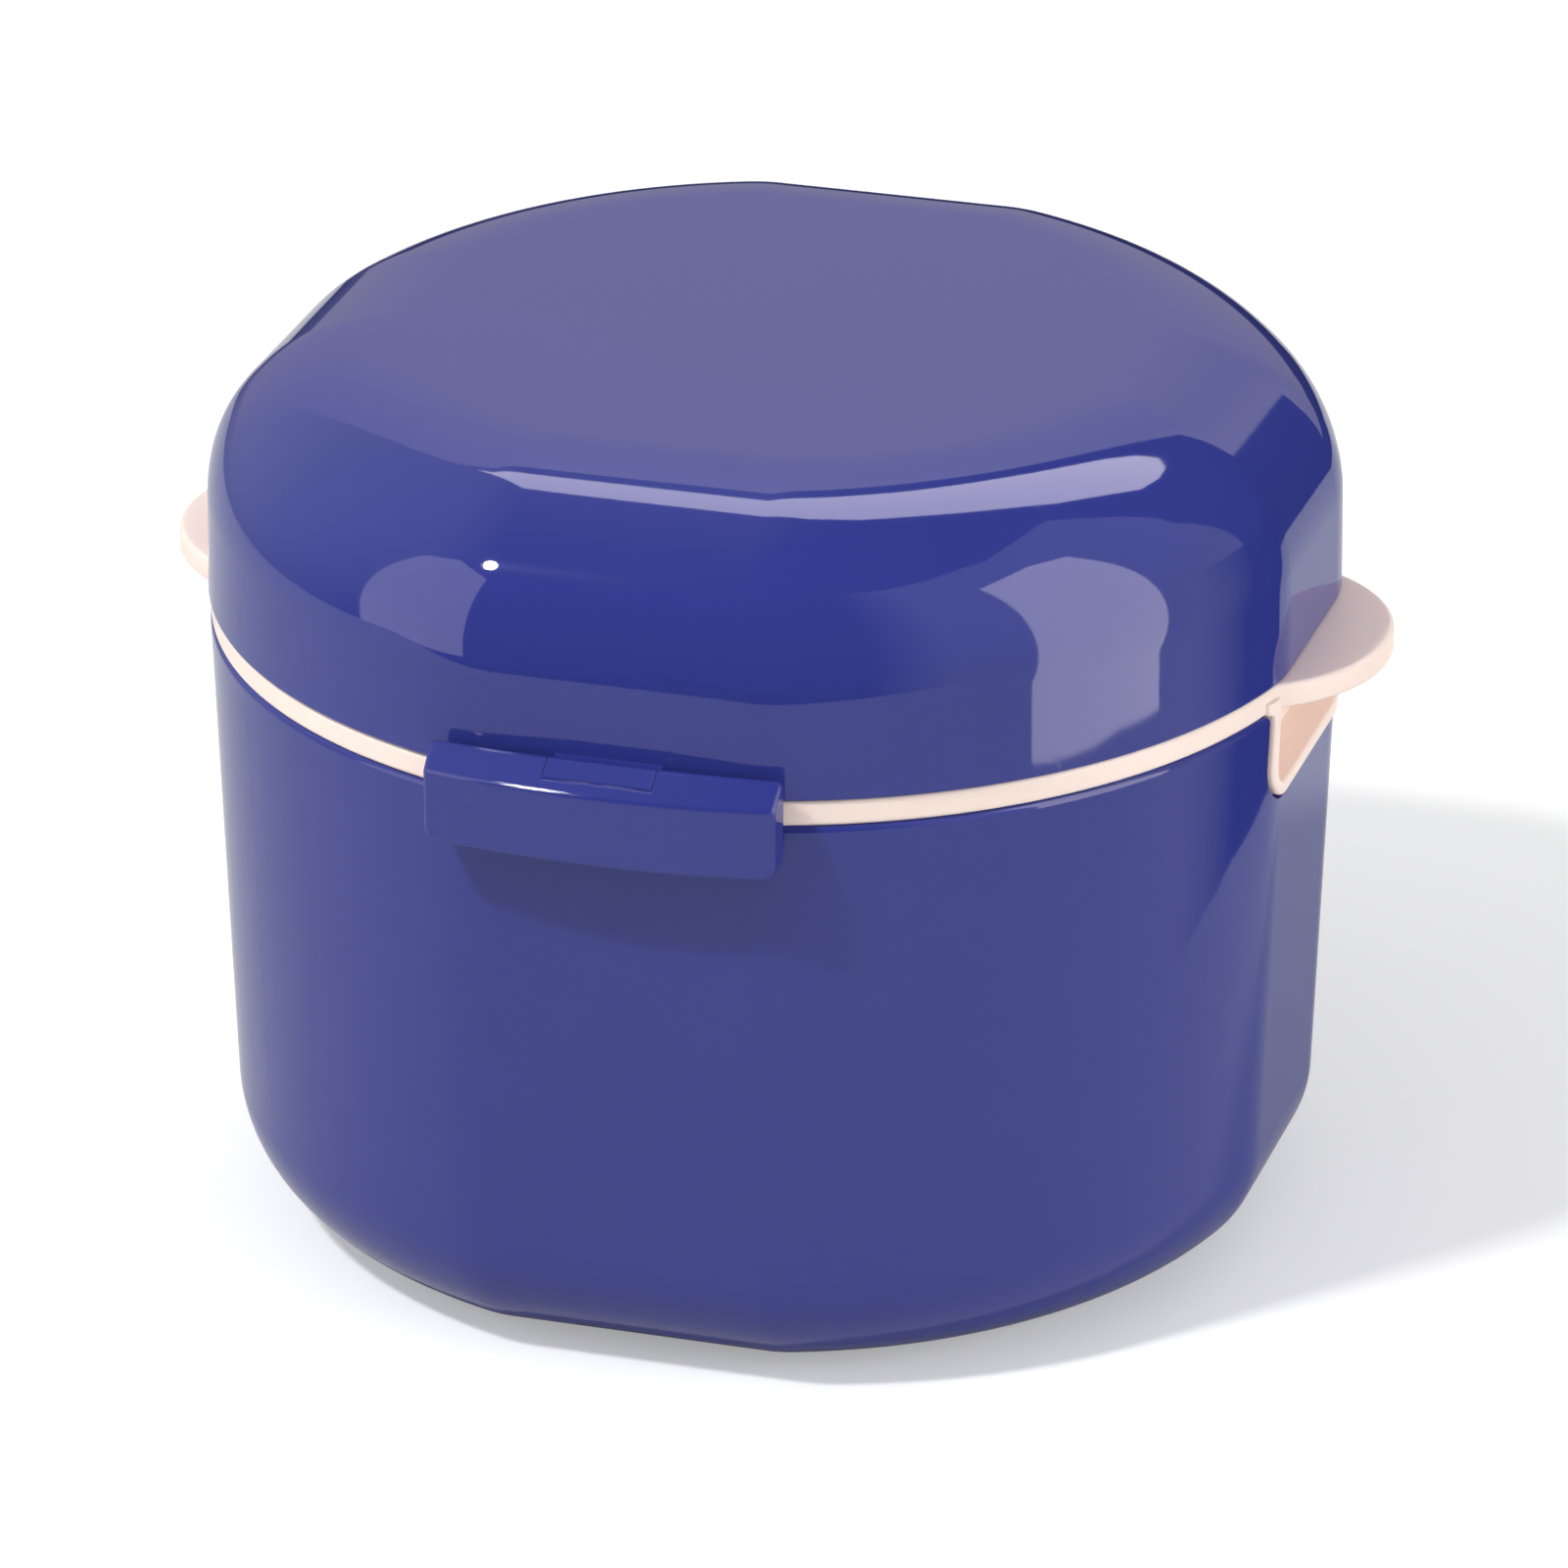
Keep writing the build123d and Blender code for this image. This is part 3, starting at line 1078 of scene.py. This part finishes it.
    def pocket_frame(self, side: int) -> bpy.types.Object:
        """The lip round one finger pocket, which fills the cup's notch.

        Args:
            side: 1 for +X, -1 for -X.

        Returns:
            A closed U-shaped body that flares at the rim.
        """
        lip = SIZES.pocket_lip
        draft = tan(radians(SIZES.cup_draft))
        root_x = SIZES.side_flat - self.bowl_inset() - self.wall / 2
        section = self.pocket_section()
        sections = []
        for y, z, ny, nz in self.pocket_path():
            rise = max(0.0, min(z, SIZES.rim_z) - (SIZES.rim_z - SIZES.pocket_flare))
            flare = SIZES.pocket_flare - sqrt(SIZES.pocket_flare**2 - rise**2)
            points = []
            for across, depth in section:
                shift = across - flare * (1 - across / lip)
                place_y = SIZES.ear_back + y - shift * ny
                place_z = z - shift * nz
                inset = SIZES.cup_inset - self.pocket_proud + max(0.0, SIZES.rim_z - place_z) * draft
                face = side_reach(place_y, inset, SIZES.cup_blend + SIZES.cup_inset - self.pocket_proud)
                x = root_x if depth is None else face - depth
                points.append((side * x, place_y, place_z))
            sections.append(np.array(points))
        return loft("pocket_frame", sections)

    def slot_shape(self, length: float, width: float) -> list[Point]:
        """A slot with round ends, long along its first axis."""
        run = (length - width) / 2
        return arc_run((run, 0), width / 2, -90, 90) + arc_run((-run, 0), width / 2, 90, 270)

    def drains(self) -> bpy.types.Object:
        """Every slot and hole, as the bodies to be cut away."""
        cutters = []
        upright = self.slot_shape(self.slot_h, self.slot_w)
        shape = [(across, self.slot_z + along) for along, across in upright]
        for number in range(self.slots):
            turn = 2 * pi * (number + 0.5) / self.slots
            cutters.append(self.spin(prism("slot", shape, self.slot_near, self.slot_far), turn))
        flat = self.slot_shape(self.floor_slot_l, self.slot_w)
        hole = circle((0, 0), self.floor_hole_d / 2)
        cutters += self.through_floor(flat, self.floor_slot_r, self.floor_slots)
        cutters += self.through_floor(hole, 0.0, 1)
        cutters += self.through_floor(hole, self.floor_hole_r, self.floor_holes)
        return merge("drains", cutters)

    def spin(self, body: bpy.types.Object, turn: float) -> bpy.types.Object:
        """Turns a body's mesh about the vertical axis through the middle."""
        points = np.array([vertex.co for vertex in body.data.vertices])
        spun = points.copy()
        spun[:, 0] = points[:, 0] * cos(turn) - points[:, 1] * sin(turn)
        spun[:, 1] = points[:, 0] * sin(turn) + points[:, 1] * cos(turn)
        body.data.vertices.foreach_set("co", spun.ravel())
        body.data.update()
        return body

    def through_floor(self, shape: list[Point], out: float, count: int) -> list[bpy.types.Object]:
        """Cutters through the bowl's floor, set round its middle.

        Args:
            shape: one cutter's shape in plan.
            out: how far from the middle it stands.
            count: how many stand in the ring.

        Returns:
            The cutters.
        """
        plan = np.array([(x + out, y) for x, y in shape])
        heights = (self.floor_z - CUTTER_REACH, self.floor_z + self.wall + CUTTER_REACH)
        ends = [np.column_stack([plan, np.full(len(plan), z)]) for z in heights]
        return [self.spin(loft("hole", ends), 2 * pi * number / count) for number in range(count)]

    def build(self, material: bpy.types.Material) -> None:
        """Builds and dresses the basket.

        Args:
            material: its plastic.
        """
        body = self.band()
        for side in (-1, 1):
            combine(body, self.pocket_frame(side), Join.ADD)
        combine(body, self.bowl_solid(0, SIZES.rim_z + SIZES.band_h / 2), Join.ADD)
        combine(body, self.bowl_solid(self.wall, SIZES.lid_z + 2 * CUTTER_REACH), Join.CUT)
        combine(body, self.drains(), Join.CUT)
        body.name = "basket_form"
        finish_piece(body, material, "base", "basket")


@dataclass
class Lid:
    """The domed lid with its seal channel, hinge knuckle, stop heel and latch boss."""

    blend: float = 16.5
    draft: float = 0.7
    knee_h: float = 11.85
    knee_slope: float = 45.0
    knee_r: float = 11.0
    shoulder_r: float = 16.6
    edge_r: float = 0.3
    wall: float = 2.0
    seal_h: float = 2.2
    rib_inset: float = 4.52
    rib_w: float = 1.3
    rib_drop: float = 1.5
    ledge_t: float = 1.4
    arm_low: float = 0.5
    arm_rise: float = 5.2
    heel_w: float = 6.0
    heel_t: float = 2.2
    heel_gap: float = 0.1
    heel_nose: float = 1.0
    open_angle: float = 110.0
    boss_top: float = 1.0
    fine_r: float = 0.2
    flat_margin: float = 0.6

    def shell(self) -> bpy.types.Object:
        """The dome, its inner wall and the seal channel, swept in one."""
        slope = tan(radians(self.draft))
        lid_z = SIZES.lid_z
        top = SIZES.top_z
        ledge_z = lid_z + self.seal_h
        shelf_z = ledge_z + self.ledge_t
        rib_end = self.rib_inset + self.rib_w
        half_turn = tan(radians(self.knee_slope / 2))
        lean = tan(radians(self.knee_slope))
        knee = self.knee_h * slope
        inner_knee_h = self.knee_h - self.wall * half_turn
        inner_knee = self.wall + inner_knee_h * slope
        crown = knee + (SIZES.lid_h - self.knee_h) * lean
        inner_crown = inner_knee + (SIZES.lid_h - self.wall - inner_knee_h) * lean
        flat = crown + self.shoulder_r * half_turn + self.flat_margin
        fine_r = self.fine_r
        profile = rounded(
            [
                (flat, top, 0),
                (crown, top, self.shoulder_r),
                (knee, lid_z + self.knee_h, self.knee_r),
                (0, lid_z, self.edge_r),
                (self.wall, lid_z, fine_r),
                (self.wall + self.seal_h * slope, ledge_z, fine_r),
                (self.rib_inset, ledge_z, fine_r),
                (self.rib_inset, lid_z - self.rib_drop, fine_r),
                (rib_end, lid_z - self.rib_drop, fine_r),
                (rib_end, shelf_z, fine_r),
                (self.wall + (shelf_z - lid_z) * slope, shelf_z, 2 * fine_r),
                (inner_knee, lid_z + inner_knee_h, self.knee_r - self.wall),
                (inner_crown, top - self.wall, self.shoulder_r - self.wall),
                (flat, top - self.wall, 0),
            ]
        )
        return sweep("lid_shell", Outline.box(self.blend), profile)

    def knuckle(self) -> bpy.types.Object:
        """The arm and barrel between the cup's lugs."""
        hinge = SIZES.hinge
        root_y = SIZES.front_flat - self.wall / 2
        foot = (root_y, SIZES.lid_z + self.arm_low)
        head = (root_y, SIZES.lid_z + self.arm_rise)
        from_angle = angle_to(hinge, foot) % 360
        to_angle = tangent_angle(hinge, SIZES.barrel_r, head, -1) % 360 + 360
        shape = [foot, *arc_run(hinge, SIZES.barrel_r, from_angle, to_angle), head]
        return prism("knuckle", shape, -SIZES.knuckle_w / 2, SIZES.knuckle_w / 2)

    def heel(self) -> bpy.types.Object:
        """The stop under the barrel that meets the cup when the lid is open."""
        hinge = SIZES.hinge
        length = hinge[0] - SIZES.cup_flat - self.heel_gap
        turn = radians(180 + self.open_angle)
        corners = [
            (0, 0),
            (length - self.heel_nose, 0),
            (length, self.heel_nose),
            (length, self.heel_t),
            (0, self.heel_t),
        ]
        shape = [
            (hinge[0] + a * cos(turn) - b * sin(turn), hinge[1] + a * sin(turn) + b * cos(turn))
            for a, b in corners
        ]
        return prism("heel", shape, -self.heel_w / 2, self.heel_w / 2)

    def boss(self) -> bpy.types.Object:
        """The block on the front that carries the latch's two axles."""
        axis = SIZES.latch_axis
        radius = SIZES.latch_barrel_r
        root_y = axis[0] + SIZES.latch_axis_out + self.wall / 2
        low_angle = -degrees(asin(SIZES.latch_axis_rise / radius))
        high_angle = degrees(asin(self.boss_top / radius)) - 360
        fall = angle_to((axis[0], axis[1] + radius), SIZES.latch_brow) + 180
        front_arc = arc_run(axis, radius, low_angle, 2 * fall - 270)
        rear_arc = arc_run(axis, radius, -270, high_angle)
        shape = [(root_y, SIZES.lid_z), *front_arc, *rear_arc, (root_y, axis[1] + self.boss_top)]
        return prism("boss", shape, -SIZES.boss_w / 2, SIZES.boss_w / 2)

    def build(self, material: bpy.types.Material) -> None:
        """Builds and dresses the lid.

        Args:
            material: its plastic.
        """
        body = self.shell()
        combine(body, self.knuckle(), Join.ADD)
        combine(body, self.heel(), Join.ADD)
        bore = circle(SIZES.hinge, SIZES.pin_r + SIZES.pin_slack)
        combine(body, prism("bore", bore, -SIZES.knuckle_w, SIZES.knuckle_w), Join.CUT)
        combine(body, self.boss(), Join.ADD)
        socket = circle(SIZES.latch_axis, SIZES.stub_r + SIZES.pin_slack)
        combine(body, prism("socket", socket, -SIZES.boss_w, SIZES.boss_w), Join.CUT)
        finish_piece(body, material, "lid", "lid")


@dataclass
class Seal:
    """The silicone ring in the lid's channel."""

    inset: float = 2.12
    width: float = 2.3
    height: float = 2.2
    lip_r: float = 0.5
    back_r: float = 0.1

    def build(self, material: bpy.types.Material) -> None:
        """Builds and dresses the seal.

        Args:
            material: its silicone.
        """
        low = SIZES.lid_z
        top = low + self.height
        inner = self.inset + self.width
        lip = [(self.inset, low, self.lip_r), (inner, low, self.lip_r)]
        back = [(inner, top, self.back_r), (self.inset, top, self.back_r)]
        body = sweep("seal_ring", Outline.box(Lid.blend), rounded(lip + back, closed=True), closed=True)
        finish_piece(body, material, "lid", "lid_seal")


@dataclass
class Latch:
    """The curved front flap, hollow behind, on two stub axles in the lid's boss."""

    width: float = 26.0
    front_r: float = 69.0
    drop: float = 4.75
    sweep: float = 0.9
    crest_r: float = 0.45
    corner_r: float = 1.0
    edge_r: float = 0.35
    back_r: float = 0.25
    back_drop: float = 0.4
    side_wall: float = 1.6
    skin: float = 1.9
    hook_h: float = 1.35
    web_h: float = 1.9
    stub_l: float = 1.9
    stations: int = 40
    hollow_stations: int = 14
    end_steps: int = 6
    round_steps: int = 8

    def section(self, x: float, shrink: float) -> np.ndarray:
        """The flap's section across its width, at a given x.

        Args:
            x: place along the width.
            shrink: how far the section is drawn in, for the rounded ends.

        Returns:
            The section's points in three dimensions.
        """
        axis = SIZES.latch_axis
        radius = SIZES.latch_barrel_r
        back = axis[0] + radius - shrink
        front = self.front_r - SIZES.latch_front - sqrt(self.front_r**2 - x**2) + shrink
        ridge = axis[0] + self.sweep * (2 * x / self.width) ** 2 - shrink
        side_run = max(0.0, abs(x) - (self.width / 2 - self.corner_r))
        lift = self.corner_r - sqrt(max(0.0, self.corner_r**2 - side_run**2))
        low = SIZES.lid_z - self.drop + lift + shrink
        crest = axis[1] + radius - shrink
        outline = rounded(
            [
                (back, low, self.back_r),
                (front, low, self.edge_r),
                (front, SIZES.latch_brow[1] - shrink / 2, self.edge_r),
                (ridge, crest, self.crest_r),
                (back, crest - self.back_drop, self.crest_r),
            ],
            closed=True,
            fixed_steps=self.round_steps,
        )
        return np.column_stack([np.full(len(outline), x), outline])

    def flap(self) -> bpy.types.Object:
        """The flap's solid form, with its rounded edges and ends."""
        half = self.width / 2
        places = [(x, 0.0) for x in np.linspace(-half + self.edge_r, half - self.edge_r, self.stations)]
        ends = []
        for step in range(1, self.end_steps + 1):
            turn = radians(90 * step / self.end_steps)
            ends.append((half - self.edge_r * (1 - sin(turn)), self.edge_r * (1 - cos(turn))))
        row = [(-x, shrink) for x, shrink in reversed(ends)] + places + ends
        return loft("flap", [self.section(x, shrink) for x, shrink in row])

    def hollow(self) -> bpy.types.Object:
        """The space behind the flap's skin."""
        half = self.width / 2 - self.side_wall
        low = SIZES.lid_z - self.drop + self.hook_h
        high = SIZES.latch_axis[1] - self.web_h
        back = SIZES.latch_axis[0] + SIZES.latch_barrel_r + CUTTER_REACH
        sections = []
        for x in np.linspace(-half, half, self.hollow_stations):
            front = self.front_r - SIZES.latch_front - sqrt((self.front_r - self.skin) ** 2 - x**2)
            sections.append(np.array([(x, back, low), (x, front, low), (x, front, high), (x, back, high)]))
        return loft("hollow", sections)

    def boss_room(self) -> bpy.types.Object:
        """The space round the lid's boss."""
        axis = SIZES.latch_axis
        radius = SIZES.latch_barrel_r + SIZES.boss_gap
        back = axis[0] + SIZES.latch_barrel_r + CUTTER_REACH
        shape = [*arc_run(axis, radius, 90, 270), (back, axis[1] - radius), (back, axis[1] + radius)]
        reach = SIZES.boss_w / 2 + SIZES.boss_gap
        return prism("boss_room", shape, -reach, reach)

    def build(self, material: bpy.types.Material) -> None:
        """Builds and dresses the latch.

        Args:
            material: its plastic.
        """
        body = self.flap()
        combine(body, self.hollow(), Join.CUT)
        combine(body, self.boss_room(), Join.CUT)
        axle = circle(SIZES.latch_axis, SIZES.stub_r)
        face = SIZES.boss_w / 2 + SIZES.boss_gap
        combine(body, prism_pair("stubs", axle, face - self.stub_l, face + SIZES.stub_r), Join.ADD)
        body.name = "latch_flap"
        finish_piece(body, material, "latch", "latch")


def direction(azimuth: float, elevation: float) -> Vector:
    """Unit vector from the box, where azimuth 0 is the front and 90 is +X, in degrees."""
    turn = radians(azimuth)
    rise = radians(elevation)
    return Vector((sin(turn) * cos(rise), -cos(turn) * cos(rise), sin(rise)))


def aim(thing: bpy.types.Object, azimuth: float, elevation: float, distance: float) -> None:
    """Places a lamp or the camera so that it looks at the middle of the lid's lower edge.

    Args:
        thing: the lamp or camera.
        azimuth: its place round the box, in degrees.
        elevation: its place above the level, in degrees.
        distance: how far away it is, in metres.
    """
    target = Vector((0, 0, SIZES.lid_z * MM))
    thing.location = target + distance * direction(azimuth, elevation)
    thing.rotation_euler = (target - thing.location).to_track_quat("-Z", "Y").to_euler()


@dataclass(frozen=True)
class Lamp:
    """A soft lamp that looks at the box. Its level is what a white surface facing it would show."""

    name: str
    azimuth: float
    elevation: float
    distance: float
    size: float
    level: float
    in_reflections: bool = False

    def build(self) -> None:
        """Hangs the lamp."""
        data = bpy.data.lights.new(self.name, "AREA")
        data.shape = "DISK"
        data.size = self.size
        data.energy = self.level * (pi * self.distance) ** 2
        lamp = add_object(self.name, data)
        aim(lamp, self.azimuth, self.elevation, self.distance)
        lamp.visible_camera = False
        lamp.visible_glossy = self.in_reflections


@dataclass(frozen=True)
class Card:
    """A studio card that only reflections see. Each corner has its own brightness, where 1 is white."""

    name: str
    corners: list[Corner]
    levels: list[float]
    faces: list[tuple[int, ...]]
    colour: Colour = (1.0, 0.93, 1.0)

    @classmethod
    def wall(
        cls,
        name: str,
        columns: list[Corner],
        *,
        radius: float,
        level: float,
        low: float = 0.0,
        rise: float = 0.0,
        spiral: float = 0.0,
    ) -> "Card":
        """A standing card that curves round the box.

        Args:
            name: the card's name.
            columns: for each upright its azimuth, its upper end's height and its share of the brightness.
            radius: how far out the first upright stands, in metres.
            level: the card's brightness at the floor's height.
            low: height of its lower edge.
            rise: how much brighter it is for each metre above the floor.
            spiral: how much further out it stands for each degree past its first upright.

        Returns:
            The card.
        """
        corners = []
        levels = []
        for azimuth, high, share in columns:
            foot = direction(azimuth, 0) * (radius + spiral * (azimuth - columns[0][0]))
            corners += [(foot.x, foot.y, low), (foot.x, foot.y, high)]
            levels += [share * (level + rise * low), share * (level + rise * high)]
        faces = [(2 * k, 2 * k + 2, 2 * k + 3, 2 * k + 1) for k in range(len(columns) - 1)]
        return cls(name, corners, levels, faces)

    @classmethod
    def overhead(cls, name: str, slopes: list[Point], *, height: float, level: float) -> "Card":
        """A level card above the box.

        Args:
            name: the card's name.
            slopes: each corner's x and y, as a share of the height.
            height: how high it hangs over the lid, in metres.
            level: its brightness.

        Returns:
            The card.
        """
        level_z = height + SIZES.top_z * MM
        corners = [(x * height, y * height, level_z) for x, y in slopes]
        return cls(name, corners, [level] * len(corners), [tuple(range(len(corners)))])

    def build(self) -> None:
        """Stands the card in the studio, out of every sight but reflections."""
        mesh = bpy.data.meshes.new(self.name)
        mesh.from_pydata(self.corners, [], self.faces)
        shade = mesh.attributes.new("level", "FLOAT", "POINT")
        shade.data.foreach_set("value", self.levels)
        card = add_object(self.name, mesh)
        for sight in ("camera", "diffuse", "transmission", "volume_scatter", "shadow"):
            setattr(card, "visible_" + sight, False)
        material, tree, shader = new_material(self.name)
        tree.nodes.remove(shader)
        brightness = add_node(tree, "Attribute", attribute_name="level")
        glow = add_node(tree, "Emission", {"Color": (*self.colour, 1)})
        surface = tree.nodes["Material Output"]
        wire(tree, (brightness, "Fac", glow, "Strength"), (glow, "Emission", surface, "Surface"))
        mesh.materials.append(material)


# The uprights of the standing cards: each one's azimuth, height and share of the card's brightness.
REAR_CARD = [
    (157.8, 0.40, 1.3),
    (159.5, 0.60, 1.3),
    (161.5, 0.80, 1.2),
    (168, 1.00, 1),
    (174.4, 1.19, 1),
    (184, 1.41, 1),
    (191, 1.53, 1),
    (213, 1.60, 1),
    (221, 1.33, 1),
    (232, 1.15, 1),
]
LEFT_CARD = [(-69.5, 0.62, 1), (-56, 0.80, 1), (-30.5, 0.72, 1)]
RIGHT_CARD = [(60, 0.155, 1), (77, 0.178, 1), (86, 0.168, 1)]
DIM_CARD = [(34, 0.95, 0), (50, 0.95, 1), (85, 0.95, 1), (121, 0.95, 1)]
# The flag card is bright over its first uprights and black from 106 to 127 degrees. That black part is
# painted shade: a dark sheet that only reflections see, which darkens the floor's reflection on the box's
# right side.
FLAG_CARD = [(87, 0.07, 1), (97, 0.07, 0.55), (106, 0.07, 0), (127, 0.07, 0)]
# The overhead strip's corners: each one's x and y over its height above the lid.
STRIP_CARD = [
    (-0.66, 0.49),
    (-0.50, 0.46),
    (-0.35, 0.40),
    (-0.30, 0.40),
    (-0.08, 0.49),
    (0.02, 0.57),
    (0.17, 0.74),
    (0.31, 0.90),
    (0.42, 0.98),
    (0.54, 1.02),
    (0.65, 0.98),
    (0.70, 0.88),
    (0.70, 0.74),
    (0.47, 0.46),
    (0.26, 0.31),
    (0.09, 0.21),
    (-0.23, 0.185),
    (-0.32, 0.19),
]


@dataclass
class Studio:
    """The floor, the world, the lamps, the cards and the camera."""

    azimuth: float = 16.8
    elevation: float = 22.5
    distance: float = 0.7476
    # How many pixels the plan's radius spans, where the box's middle stands, and the picture's width.
    scale_px: float = 578.2
    centre_px: Point = (791.5, 586.5)
    image_px: int = 1601
    sensor: float = 36.0
    floor_half: float = 0.3
    floor_front: float = 0.18
    floor_colour: float = 0.76
    # The floor's colour and own light where the camera doesn't look at it directly.
    floor_bounce: float = 0.66
    floor_glow: float = 0.32
    floor_roughness: float = 0.9
    ambient: float = 0.47
    # Where the reflected room is brightest, how it fades with the angle from there, and its two levels.
    room_azimuth: float = -110
    room_elevation: float = 30
    room_fade: Point = (0.45, 1.08)
    room_dark: float = 0.02
    room_bright: float = 0.68
    lamps: list[Lamp] = field(
        default_factory=lambda: [
            Lamp("key_left", -36, 51.5, distance=0.9, size=0.09, level=0.64, in_reflections=True),
            Lamp("fill_left", -65, 12, distance=1.2, size=0.9, level=0.27),
            Lamp("fill_right", 80, 12, distance=1.2, size=0.9, level=0.58),
            Lamp("fill_rear", 165, 15, distance=1.2, size=0.9, level=0.22),
        ]
    )
    cards: list[Card] = field(
        default_factory=lambda: [
            Card.wall("card_rear", REAR_CARD, radius=0.971, level=0.40, rise=0.78),
            Card.wall("card_left", LEFT_CARD, radius=0.736, level=2.0, low=-0.1),
            Card.wall("card_right", RIGHT_CARD, radius=0.1178, level=4.2, low=0.017),
            Card.wall("card_dim", DIM_CARD, radius=0.55, level=0.72, low=-0.1),
            # card_flag puts painted shade into reflections: its black end darkens the reflected floor on
            # the right.
            Card.wall("card_flag", FLAG_CARD, radius=0.088, level=0.8, spiral=0.0007),
            Card.overhead("strip_top", STRIP_CARD, height=0.6, level=5.7),
        ]
    )

    def floor(self) -> None:
        """The pale floor, white to the camera except for the box's shadow."""
        half = self.floor_half
        front = -self.floor_front
        mesh = bpy.data.meshes.new("floor")
        corners = [(-half, front, 0), (half, front, 0), (half, half, 0), (-half, half, 0)]
        mesh.from_pydata(corners, [], [(0, 1, 2, 3)])
        floor = add_object("floor", mesh)
        material, tree, shader = new_material("floor_paper")
        set_values(shader, {"Roughness": self.floor_roughness, "Specular IOR Level": 0.0})
        path = add_node(tree, "LightPath")
        glow = add_node(tree, "Emission", {"Strength": self.floor_glow})
        dark = add_node(tree, "Emission", {"Strength": 0.0})
        choose = add_node(tree, "MixShader")
        total = add_node(tree, "AddShader")
        paper = add_node(tree, "MapRange", {"To Min": self.floor_bounce, "To Max": self.floor_colour})
        wire(
            tree,
            (path, "Is Camera Ray", paper, "Value"),
            (paper, "Result", shader, "Base Color"),
            (path, "Is Camera Ray", choose, "Fac"),
            (dark, "Emission", choose, 1),
            (glow, "Emission", choose, 2),
            (shader, "BSDF", total, 0),
            (choose, "Shader", total, 1),
            (total, "Shader", tree.nodes["Material Output"], "Surface"),
        )
        mesh.materials.append(material)

    def world(self) -> None:
        """White to the camera, a shaded room in reflections, and an even fill for everything else."""
        world = bpy.data.worlds.new("studio")
        bpy.context.scene.world = world
        world.use_nodes = True
        tree = world.node_tree
        tree.nodes.clear()
        white = {"Color": (1, 1, 1, 1)}
        path = add_node(tree, "LightPath")
        seen = add_node(tree, "Math", operation="MAXIMUM")
        fill = add_node(tree, "Background", {**white, "Strength": self.ambient})
        backdrop = add_node(tree, "Background", {**white, "Strength": 1.0})
        room = add_node(tree, "Background", white)
        reflected = add_node(tree, "MixShader")
        direct = add_node(tree, "MixShader")
        output = add_node(tree, "OutputWorld")
        wire(
            tree,
            (path, "Is Camera Ray", seen, 0),
            (path, "Is Transmission Ray", seen, 1),
            (path, "Is Glossy Ray", reflected, "Fac"),
            (fill, "Background", reflected, 1),
            (room, "Background", reflected, 2),
            (seen, 0, direct, "Fac"),
            (reflected, "Shader", direct, 1),
            (backdrop, "Background", direct, 2),
            (direct, "Shader", output, "Surface"),
        )
        self.room_shade(tree, room)

    def room_shade(self, tree: bpy.types.NodeTree, room: bpy.types.Node) -> None:
        """Makes the room that reflections see bright at the upper left and dark at the front right.

        Args:
            tree: the world's nodes.
            room: the background that reflections see.
        """
        brightest = direction(self.room_azimuth, self.room_elevation)
        fade = {"From Min": self.room_fade[0], "From Max": self.room_fade[1]}
        levels = {"To Min": self.room_dark, "To Max": self.room_bright}
        place = add_node(tree, "TexCoord")
        facing = add_node(tree, "VectorMath", {1: brightest}, operation="DOT_PRODUCT")
        shade = add_node(tree, "MapRange", {**fade, **levels}, interpolation_type="SMOOTHSTEP")
        wire(
            tree,
            (place, "Generated", facing, 0),
            (facing, "Value", shade, "Value"),
            (shade, "Result", room, "Strength"),
        )

    def camera(self) -> None:
        """The camera at the photograph's angle and framing."""
        middle = self.image_px / 2
        data = bpy.data.cameras.new("camera")
        data.sensor_width = self.sensor
        data.lens = self.scale_px * self.distance / (SIZES.plan_r * MM) * self.sensor / self.image_px
        data.shift_x = (middle - self.centre_px[0]) / self.image_px
        data.shift_y = (self.centre_px[1] - middle) / self.image_px
        camera = add_object("camera", data)
        aim(camera, self.azimuth, self.elevation, self.distance)
        bpy.context.scene.camera = camera

    def build(self) -> None:
        """Sets up the whole studio."""
        self.floor()
        self.world()
        for item in (*self.lamps, *self.cards):
            item.build()
        self.camera()
        bpy.context.scene.view_settings.view_transform = "Standard"
        log.info("studio: %d lamps and %d cards", len(self.lamps), len(self.cards))


def dress_node(node: str, material: bpy.types.Material) -> None:
    """Gives a solid that stays its finish.

    Args:
        node: the solid's name.
        material: its finish.
    """
    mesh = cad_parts[node].data
    mesh.materials.clear()
    mesh.materials.append(material)
    log.info("%s keeps its solid, in %s", node, material.name)


def main() -> None:
    """Builds every piece, then the studio."""
    logging.basicConfig(level=logging.INFO, format="%(message)s")
    kit = ShaderKit()
    shell_blue = INDIGO_GLOSS.build(kit)
    Cup().build(shell_blue)
    Basket().build(SHELL_PINK.build(kit))
    Lid().build(shell_blue)
    Seal().build(GREY_SILICONE.build(kit))
    Latch().build(INDIGO_LATCH.build(kit))
    dress_node("hinge_pin", DrawnSteel().build(kit))
    Studio().build()


if __name__ == "__main__":
    main()
